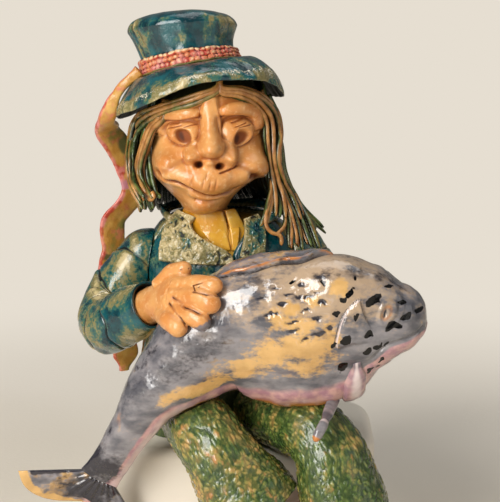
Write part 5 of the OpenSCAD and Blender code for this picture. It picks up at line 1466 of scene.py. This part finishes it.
def dorsal_at(s, t):
    """Places of the dorsal fin: a broad fold along the back whose near edge waves."""
    edge = smooth(DORSAL_EDGE, s * (len(DORSAL_EDGE) - 1))[..., 0] + 1.6 * sin(900 * s)
    return mix(3.5, 5.7, s), mix(edge, 114 + 5 * sin(300 * s), t)


def dorsal_thick(s, t, p):
    """Height of the dorsal fold: even across, rounded at its near edge and sinking at both ends."""
    body = np.clip(1.6 * sin(180 * mix(0.02, 0.98, s)), 0, 1) * ease((1 - t) * 3)
    sink = 1.6 * (1 - ease(9 * np.minimum(s, 1 - s)))
    high = (2.7 + 0.7 * bell((t - 0.08) / 0.08) + 0.4 * lumps(p, 7, 115)) * body
    return np.maximum(0.15, 0.3 + high + fish_plump(*dorsal_at(s, t)) - sink)


def dorsal_orange(s, t, p):
    """Orange along the near edge of the dorsal fold, with faint clouds."""
    return 0.8 * bell((t - 0.06) / 0.05) * (0.7 + 0.6 * lumps(p, 9, 117)) + 0.15 * lumps(p, 4, 118)


dorsal = slab(fish_at, dorsal_at, dorsal_thick, 0.2, 170, 60, 0.3, orange=dorsal_orange,
              # dark: speckles, and painted shade along the near edge of the fold
              dark=lambda s, t, p: 0.22 + 0.2 * lumps(p, 4, 116) + 0.3 * bell(t / 0.02),
              ochre=lambda s, t, p: 0.25 + 0.3 * lumps(p, 8, 119))
piece("fish_dorsal_fin", dorsal, FISH, "fish_glaze")


def pectoral(root, end):
    """Pectoral fin: a long leaf laid from behind the jaw down over the belly, thickest along its middle."""
    def at(s, t):
        wide = 0.27 * (0.35 + 0.65 * ease(3 * t)) * (1 - 0.3 * ease(3 * t - 2))
        return mix(3.12, 3.48, t) + wide * (2 * s - 1), mix(root, end, t)

    def thick(s, t, p):
        ridge = np.sqrt(sin(180 * mix(0.03, 0.97, s))) * ease(4 * t + 0.1) * (1 - 0.5 * ease(4 * t - 3))
        return 0.4 + 2.6 * ridge + fish_plump(*at(s, t)) + 0.2 * lumps(p, 5, 121)

    def orange(s, t, p):
        return 0.7 * bell((s - 0.02) / 0.12) * ease(2 * t) + 0.4 * ease((t - 0.75) * 4)

    def pale(s, t, p):
        return 0.75 * bell((s - 0.55) / 0.3) * ease(1.5 - t) + 0.2 * lumps(p, 6, 122)

    return slab(fish_at, at, thick, 0.3, 50, 90, 0.25, pale=pale, orange=orange,
                pink=lambda s, t, p: 0.5 + 0.35 * t)


piece("fish_pectoral_fin_front", pectoral(-22, -88), FISH, "fish_pink_glaze")
piece("fish_pectoral_fin_back", pectoral(202, 266), FISH, "fish_pink_glaze")


def pelvic_skin():
    """Pelvic fin: a narrow finger of clay that leaves the belly and hangs over the knee."""
    root = over(fish_at, np.float64(3.75), np.float64(-68), 4)
    f = np.linspace(0, 1, 80)
    path = bent(root, [53.5, -97, root[2] - 8], [49.5, -99, 21.5], 6, f)
    tip = np.where(f > 0.86, dome((f - 0.86) / 0.143), 1)
    pinch = 1 - 0.12 * bell((f - 0.62) / 0.08)
    rings = limb(path, mix(3.4, 2.7, ease(f * 1.6)) * tip * pinch, mix(1.8, 2.2, f) * tip, 40)
    f = f[:, None]
    pale = 0.8 * bell((f - 0.68) / 0.05) + 0.5 * bell((f - 0.42) / 0.1)
    return skin(raised(rings, 0.2 * lumps(rings, 5, 123)), orange=0.9 * ease((f - 0.9) / 0.06), pale=pale)


piece("fish_pelvic_fin", pelvic_skin(), FISH, "fish_glaze")


def clear_of_fish(p, gap):
    """Moves points inside the fish straight out to its skin, by their distance in its half sizes."""
    low, high = np.full(p.shape[:-1], 1.0), np.full(p.shape[:-1], 9.0)
    for _ in range(9):
        m = (low + high) / 2
        r, way = fish_frame(m)[:2]
        past = ((p - r[..., :3]) * way).sum(-1) > 0
        low, high = np.where(past, m, low), np.where(past, high, m)
    r, way, side, up = fish_frame((low + high) / 2)
    q = p - r[..., :3]
    x, y = (q * side).sum(-1), (q * up).sum(-1)
    k = np.clip(np.hypot(x / (r[..., 4] + gap), y / (r[..., 3] + gap)), 1e-3, 1)
    return p + (side * x[..., None] + up * y[..., None]) * (1 / k - 1)[..., None]


# Legs and boots

HEM_Z, SOLE_Z, SHELF_END_Y, LEG_RADIUS, LEG_SIDES = -19, -62, -50, 19.5, 230
HIP_RIGHT, KNEE_RIGHT, SHIN_RIGHT = [-19.5, -24.15, 17.2], [-7.5, -74, 17.2], [12.5, -76, HEM_Z]
HIP_LEFT, KNEE_LEFT, SHIN_LEFT = [20, -24.15, 17.2], [56, -73, 17.2], [66, -76, HEM_Z]
# The right trouser leg's hem is pulled to the left, past the shin in it
HEM_RIGHT = [16, -76, HEM_Z]
# Shrink of the hem's inner rings, and how far they go up into the leg
HEM_INNER, HEM_BACK = [0.99, 0.97, 0.965, 0.96, 0.95], [0.3, 0, -3, -7, -8]


def leg_skin(hip, knee, hem, flare, seed, stretch, warm):
    """Trouser leg: a bent tube with bark-like flecks drawn out along it, flattened under the fish."""
    f = np.linspace(0, 1, 250)
    wide = LEG_RADIUS * mix(0.88, 1, ease(2 * f)) + flare * ease((f - 0.55) / 0.4)
    thick = mix(17, LEG_RADIUS * 0.95, ease(1.6 * f)) + 5.4 * ease((f - 0.6) / 0.4)
    hem = np.array(hem) + 6 * unit(np.array(hem) - np.array(knee))
    path = bent(hip, knee, hem, 20.1, f)
    rings = limb(path, wide, thick, LEG_SIDES)
    a = np.linspace(0, 360, LEG_SIDES, endpoint=False)
    bark = vec(19 * cos(a), 19 * sin(a), 105 * f[:, None] / stretch)
    bark = bark + 1.6 * vec(lumps(bark, 5, seed), lumps(bark, 5, seed + 1), lumps(bark, 5, seed + 2))
    gap, shade = cells(bark, 2.5, seed + 5)[1:]
    fine = swell(bark, 1.3, seed + 6)
    bump = np.clip(ease(gap * 1.5) * (0.45 + 0.55 * shade) + 0.2 * fine, 0, 1)
    rise = 0.75 * bump + 0.8 * lumps(rings, 16, seed + 9, 2) - 0.75
    rings = clear_of_fish(raised(rings, rise * ease(f * 12)[:, None]), 0.9)
    on_shelf = rings[..., 1] > SHELF_END_Y
    rings[..., 2] = np.where(on_shelf, np.maximum(rings[..., 2], 0.05), rings[..., 2])
    rings = np.concatenate([rings, mouth(path, rings[-1], HEM_INNER, HEM_BACK)])
    more = lambda v: np.concatenate([v, np.repeat(v[-1:], len(HEM_INNER), 0)])
    return skin(rings, high=more(bump), shade=more(shade), warm=warm)


trouser_right = leg_skin(HIP_RIGHT, KNEE_RIGHT, HEM_RIGHT, 7, 131, 1.5, 0.05)
piece("leg_right", trouser_right, TROUSER, "trouser_glaze")
trouser_left = leg_skin(HIP_LEFT, KNEE_LEFT, SHIN_LEFT, 4.8, 141, 1.7, 0)
piece("leg_left", trouser_left, TROUSER, "trouser_glaze")

BOOT_LONG, BOOT_WIDE, ANKLE_RADIUS = 62, 31, 14.5
INSTEP_CREASES = 0.35, 0.42, 0.49, 0.56


def boot_skin(knee, shin, toe_way, seed):
    """Boot: an ankle bent into a foot, rounded at the toe and cut flat at the sole, with instep creases."""
    knee, shin = np.array(knee, float), np.array(shin, float)
    way = unit(shin - knee)
    top = shin + way * 0.15
    heel = top + way * ((-SOLE_Z - BOOT_WIDE * 0.42 + top[2]) / -way[2])
    toe = heel + unit(np.array(toe_way)) * (BOOT_LONG - ANKLE_RADIUS)
    f = np.linspace(0, 1, 130)
    end = np.where(f > 0.8, dome((f - 0.8) / 0.202), 1)
    wide = mix(ANKLE_RADIUS, BOOT_WIDE / 2, ease(1.4 * f)) * end
    thick = mix(ANKLE_RADIUS, 13, ease(1.6 * f)) * end
    rings = limb(bent(top, heel, toe, 15.5, f), wide, thick, 110)
    creases = -0.8 * sum(bell((f - m) / 0.012) for m in INSTEP_CREASES)[:, None]
    rings = raised(rings, 0.5 * lumps(rings, 12, seed) + creases * ease((rings[..., 2] + 52) / 8))
    welt = 1.3 * bell((rings[..., 2] - SOLE_Z - 2.2) / 1.6) * end[:, None]
    rings = rings + unit((rings - rings.mean(1, keepdims=True)) * [1, 1, 0]) * welt[..., None]
    rings[..., 2] = np.maximum(rings[..., 2], SOLE_Z)
    # Painted shade in the instep creases and in the groove above the sole
    groove = 0.7 * bell((rings[..., 2] - SOLE_Z - 4.6) / 0.8)
    return skin(rings, deep=np.clip(-creases * 0.9, 0, 1) + groove)


piece("boot_right", boot_skin(KNEE_RIGHT, SHIN_RIGHT, (-0.1, -1, -0.02), 151), BOOT, "boot_glaze")
piece("boot_left", boot_skin(KNEE_LEFT, SHIN_LEFT, (0.22, -1, -0.02), 153), BOOT, "boot_glaze")


def cuff_skin(knee, shin, seed):
    """Boot cuff: a soft roll carried round the shin under the trouser hem."""
    knee, shin = np.array(knee, float), np.array(shin, float)
    way = unit(shin - knee)
    middle = shin + way * 3.8
    across = unit(np.cross(way, [0, 1, 0]))
    forward = np.cross(way, across)
    a = np.linspace(0, 360, 170, endpoint=False)[:, None, None]
    b = np.linspace(0, 360, 44, endpoint=False)[None, :, None]
    points = middle + (across * cos(a) + forward * sin(a)) * (18.55 + 3.85 * cos(b)) + way * 3.5 * sin(b)
    rise = 0.45 * lumps(points, 7, seed)
    # Painted shade in the dips of the roll
    return skin(raised(points, rise), "loop", deep=np.clip(-rise, 0, 1))


piece("boot_cuff_right", cuff_skin(KNEE_RIGHT, SHIN_RIGHT, 155), BOOT, "boot_glaze")
piece("boot_cuff_left", cuff_skin(KNEE_LEFT, SHIN_LEFT, 157), BOOT, "boot_glaze")

# Hands

FINGER_RADIUS, WRIST_RADIUS = 5.75, 10


def finger(knuckle, joint, tip, r, gap=0.7):
    """A finger: a round section along a bent path, domed at the tip and resting on the fish."""
    f = np.linspace(0, 1, 48)
    end = np.where(f > 0.78, dome((f - 0.78) / 0.222), 1) * (1 + 0.06 * bell((f - 0.45) / 0.1))
    return skin(clear_of_fish(limb(bent(knuckle, joint, tip, r * 1.3, f), r * end, r * end, 28), gap))


def palm(wrist, knuckles, wide, half_wide, half_thick):
    """The back of the hand: ovals that widen from the wrist and close round at the knuckles."""
    knuckles, wide = np.array(knuckles, float), np.array(wide, float)
    way = unit(knuckles - wrist)
    across = unit(wide - way * (wide @ way))
    f = np.linspace(0, 1, 40)
    end = np.where(f > 0.75, np.sqrt(np.maximum(0.05, 1 - ((f - 0.75) / 0.27) ** 2)), 1)
    half_wide, half_thick = (mix(WRIST_RADIUS, half, ease(1.5 * f)) * end for half in (half_wide, half_thick))
    path = mix(wrist, knuckles, f[:, None]), np.tile(way, (len(f), 1)), np.tile(across, (len(f), 1))
    return skin(clear_of_fish(limb(path, half_wide, half_thick, 36), 2))


def wrist_skin(cuff, way, reach):
    """The wrist: a short round bar from inside the cuff."""
    f = np.linspace(-6.6, reach, 20)
    axis = unit(np.cross(way, [0, 0, 1.0]))
    path = cuff + way * f[:, None], np.tile(way, (len(f), 1)), np.tile(axis, (len(f), 1))
    return skin(limb(path, WRIST_RADIUS, WRIST_RADIUS, 36))


def ahead(x, d, z):
    """A place d in front of the line of the knees."""
    return [x, -74 - d, z]


def rest(u, a, lift=0.3):
    """Where the middle of a fingertip lies when it rests on the fish."""
    return over(fish_at, np.float64(u), np.float64(a), FINGER_RADIUS + lift)


def hand(node, skins, finish):
    """A hand: its lumps welded on a fine voxel grid and smoothed like worked clay."""
    body = piece(node, skins, finish, "bare_clay")
    weld = body.modifiers.new("weld", "REMESH")
    weld.mode, weld.voxel_size, weld.use_smooth_shade = "VOXEL", 0.5 * MM, True
    rub = body.modifiers.new("rub", "SMOOTH")
    rub.factor, rub.iterations = 0.5, 6


# Routes and half widths of the cracks in the right hand, pressed and darkened with painted shade, and of a
# smear of glaze on a fingertip
CRACKS = [
    ([(-24, -83.5, 94.5), (-17, -91, 90.8), (-10.7, -94.6, 89), (-4.6, -94, 84.4)], 0.7),
    ([(-13.1, -90.5, 99.2), (-6.1, -93.6, 98.3), (-0.6, -92, 97)], 0.45),
    ([(-25.9, -81.7, 90.9), (-19.6, -91.2, 85.5), (-15.1, -92, 79)], 0.5),
    ([(-13.2, -86.3, 101.5), (-12.3, -90.4, 99.7)], 0.25),
    ([(-13.2, -86.3, 101.5), (-8.5, -88.6, 103.6)], 0.25),
    ([(-10.6, -88, 101), (-8.8, -89.5, 103)], 0.2),
    ([(-20.2, -70.9, 106.6), (-16, -70.1, 107)], 0.25)]
SMEAR = [(-10, -97, 78.5), (-5.5, -96, 80.5), (-2, -94, 82)], 4.2
HAND = skin_clay("hand_clay", CRACKS, SMEAR)
CUFF_RIGHT, CUFF_LEFT = np.array(ARM_RIGHT[-1]), np.array(ARM_LEFT[-1])
WAY_RIGHT, WAY_LEFT = (bent(*arm, ELBOW_BEND, [1.0])[1][0] for arm in (ARM_RIGHT, ARM_LEFT))
hand("hand_right", [
    wrist_skin(CUFF_RIGHT, WAY_RIGHT, 5),
    palm(CUFF_RIGHT + WAY_RIGHT * 2, ahead(-17, 4, 95), [11, 0, 19], 15, 9.5),
    finger(ahead(-23, -1, 98), ahead(-10, 8.5, 101.5), rest(5.5, 62, -0.9), FINGER_RADIUS * 0.86),
    finger(ahead(-24, 2, 93), ahead(-10, 13.5, 95.5), rest(5.63, 44), FINGER_RADIUS),
    finger(ahead(-26, 2, 87), ahead(-14, 15.5, 86.5), rest(5.9, 33, -0.5), FINGER_RADIUS * 0.92),
    finger(ahead(-30, -1, 83), ahead(-25, 11.5, 82), rest(6.35, 39, -0.6), FINGER_RADIUS * 0.9),
    finger(ahead(-33, -14, 95), ahead(-25, -10, 104), ahead(-15, -5, 107.5), FINGER_RADIUS * 0.76)],
    HAND)
hand("hand_left", [
    wrist_skin(CUFF_LEFT, WAY_LEFT, 11),
    palm(CUFF_LEFT + WAY_LEFT * 7, ahead(60, -40, 86), [16, 2, -2], 13, 6.5),
    *[finger(ahead(66 - 6.6 * i, -42.5, 81), ahead(64 - 7.4 * i, -40, 95),
             rest(3.35 + 0.28 * i, 147 + i, 0.6), FINGER_RADIUS * 0.8) for i in range(4)],
    finger(ahead(68, -45, 77), ahead(74, -41, 86), rest(2.7, 152, 2.6), FINGER_RADIUS * 0.8)],
    CLAY)

# Solids that keep their shape and take a finish

for node, finish in (("trouser_seat", TROUSER), ("torso", YELLOW), ("neck", CLAY)):
    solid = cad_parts[node]
    for n in range(max(1, len(solid.material_slots))):
        if not solid.material_slots:
            solid.data.materials.append(finish.material)
        solid.material_slots[n].material = finish.material

# Stage: a shelf under the seat and the floor, in one pale sheet


def stage_skin():
    """A sheet that runs level under the seat, rounds the shelf's edge, drops and runs out over the floor."""
    a = np.linspace(0, 360, 240, endpoint=False)[None]
    out = np.concatenate([np.linspace(-40, -6, 8), -6 + 6 * sin(np.linspace(10, 90, 10)), np.full(6, 0),
                          6 - 6 * cos(np.linspace(10, 90, 10)), np.geomspace(8, 14000, 40)])[:, None]
    z = np.concatenate([np.zeros(8), -6 + 6 * cos(np.linspace(10, 90, 10)), np.linspace(-10, -52, 6),
                        -56.3 - 6 * sin(np.linspace(10, 90, 10)), np.full(40, -62.3)])[:, None]
    x = 12 + (74 + out) * power(cos(a), 0.4)
    y = 6 + (54 + out) * power(sin(a), 0.4)
    return vec(x, y, z)


sheet = stage_skin() * MM
rows, columns, _ = sheet.shape
here = np.arange(rows * columns).reshape(rows, columns)
right = np.roll(here, -1, 1)
faces = np.stack([here[:-1], here[1:], right[1:], right[:-1]], -1).reshape(-1, 4).tolist()
faces.append(here[0].tolist())
stage_mesh = bpy.data.meshes.new("shelf_and_floor")
stage_mesh.from_pydata(sheet.reshape(-1, 3).tolist(), [], faces)
stage_mesh.polygons.foreach_set("use_smooth", np.ones(len(faces), bool))
stage = bpy.data.objects.new("shelf_and_floor", stage_mesh)
bpy.context.collection.objects.link(stage)
cloth = Finish("pale_floor", {"Roughness": 0.9})
pale = cloth.paint(cloth.fade(cloth.grain(300, 2, 1), 0.3, 0.7), "e4dbcb", "eee6d8")
cloth.finish(pale, cloth.grain(3, 3, 2), 0.15)
glow, blend, rays = (cloth.nodes.new("ShaderNode" + kind) for kind in ("Emission", "MixShader", "LightPath"))
glow.inputs["Color"].default_value = tint("e6ded1")
away = cloth.fade(cloth.arrow("LENGTH", cloth.place), 0.16, 0.6)
cloth.put(cloth.do("MULTIPLY", away, rays.outputs["Is Camera Ray"]), blend.inputs["Fac"])
cloth.put(cloth.shader.outputs[0], blend.inputs[1])
cloth.put(glow.outputs[0], blend.inputs[2])
cloth.put(blend.outputs[0], next(n for n in cloth.nodes if n.type == "OUTPUT_MATERIAL").inputs["Surface"])
stage_mesh.materials.append(cloth.material)

# Light and camera


def lamp(name, place, size, power_w, colour=(1, 1, 1)):
    """A soft light of a width and a height that faces the figure's middle."""
    data = bpy.data.lights.new(name, "AREA")
    data.shape, data.size, data.size_y, data.energy, data.color = "RECTANGLE", *size, power_w, colour
    light = bpy.data.objects.new(name, data)
    light.location = place
    aim = np.array([0.01, -0.03, 0.1]) - np.array(place)
    light.rotation_mode = "QUATERNION"
    light.rotation_quaternion = Vector(aim).to_track_quat("-Z", "Y")
    bpy.context.collection.objects.link(light)


lamp("window", (-0.85, -1.25, 0.9), (0.7, 1.3), 28, (1, 0.97, 0.93))
lamp("low_window", (-0.72, -1.3, 0.16), (0.3, 0.34), 3.2, (1, 0.97, 0.93))
lamp("sky", (0.25, 0.35, 1.7), (1.2, 1.2), 8)
lamp("room", (1.4, -0.9, 0.5), (1.2, 1.2), 3, (1, 0.95, 0.88))

world = bpy.data.worlds.new("studio")
bpy.context.scene.world = world
world.use_nodes = True
world.node_tree.nodes["Background"].inputs["Color"].default_value = (0.93, 0.9, 0.86, 1)
world.node_tree.nodes["Background"].inputs["Strength"].default_value = 0.18

CAMERA_UP, CAMERA_FAR, LOOK_AT, FOCAL_PX, FRAME_PX = 12, 1.1, (0.016, 0, 0.10153), 1964.29, 500
lens = bpy.data.cameras.new("photograph")
lens.sensor_fit, lens.sensor_width = "HORIZONTAL", 36
lens.lens = 36 * FOCAL_PX / FRAME_PX
lens.clip_end = 40
camera = bpy.data.objects.new("photograph", lens)
camera.location = (LOOK_AT[0], -CAMERA_FAR * cos(CAMERA_UP), LOOK_AT[2] + CAMERA_FAR * sin(CAMERA_UP))
camera.rotation_euler = (np.radians(90 - CAMERA_UP), 0, 0)
bpy.context.collection.objects.link(camera)
bpy.context.scene.camera = camera
bpy.context.scene.view_settings.view_transform = "Standard"
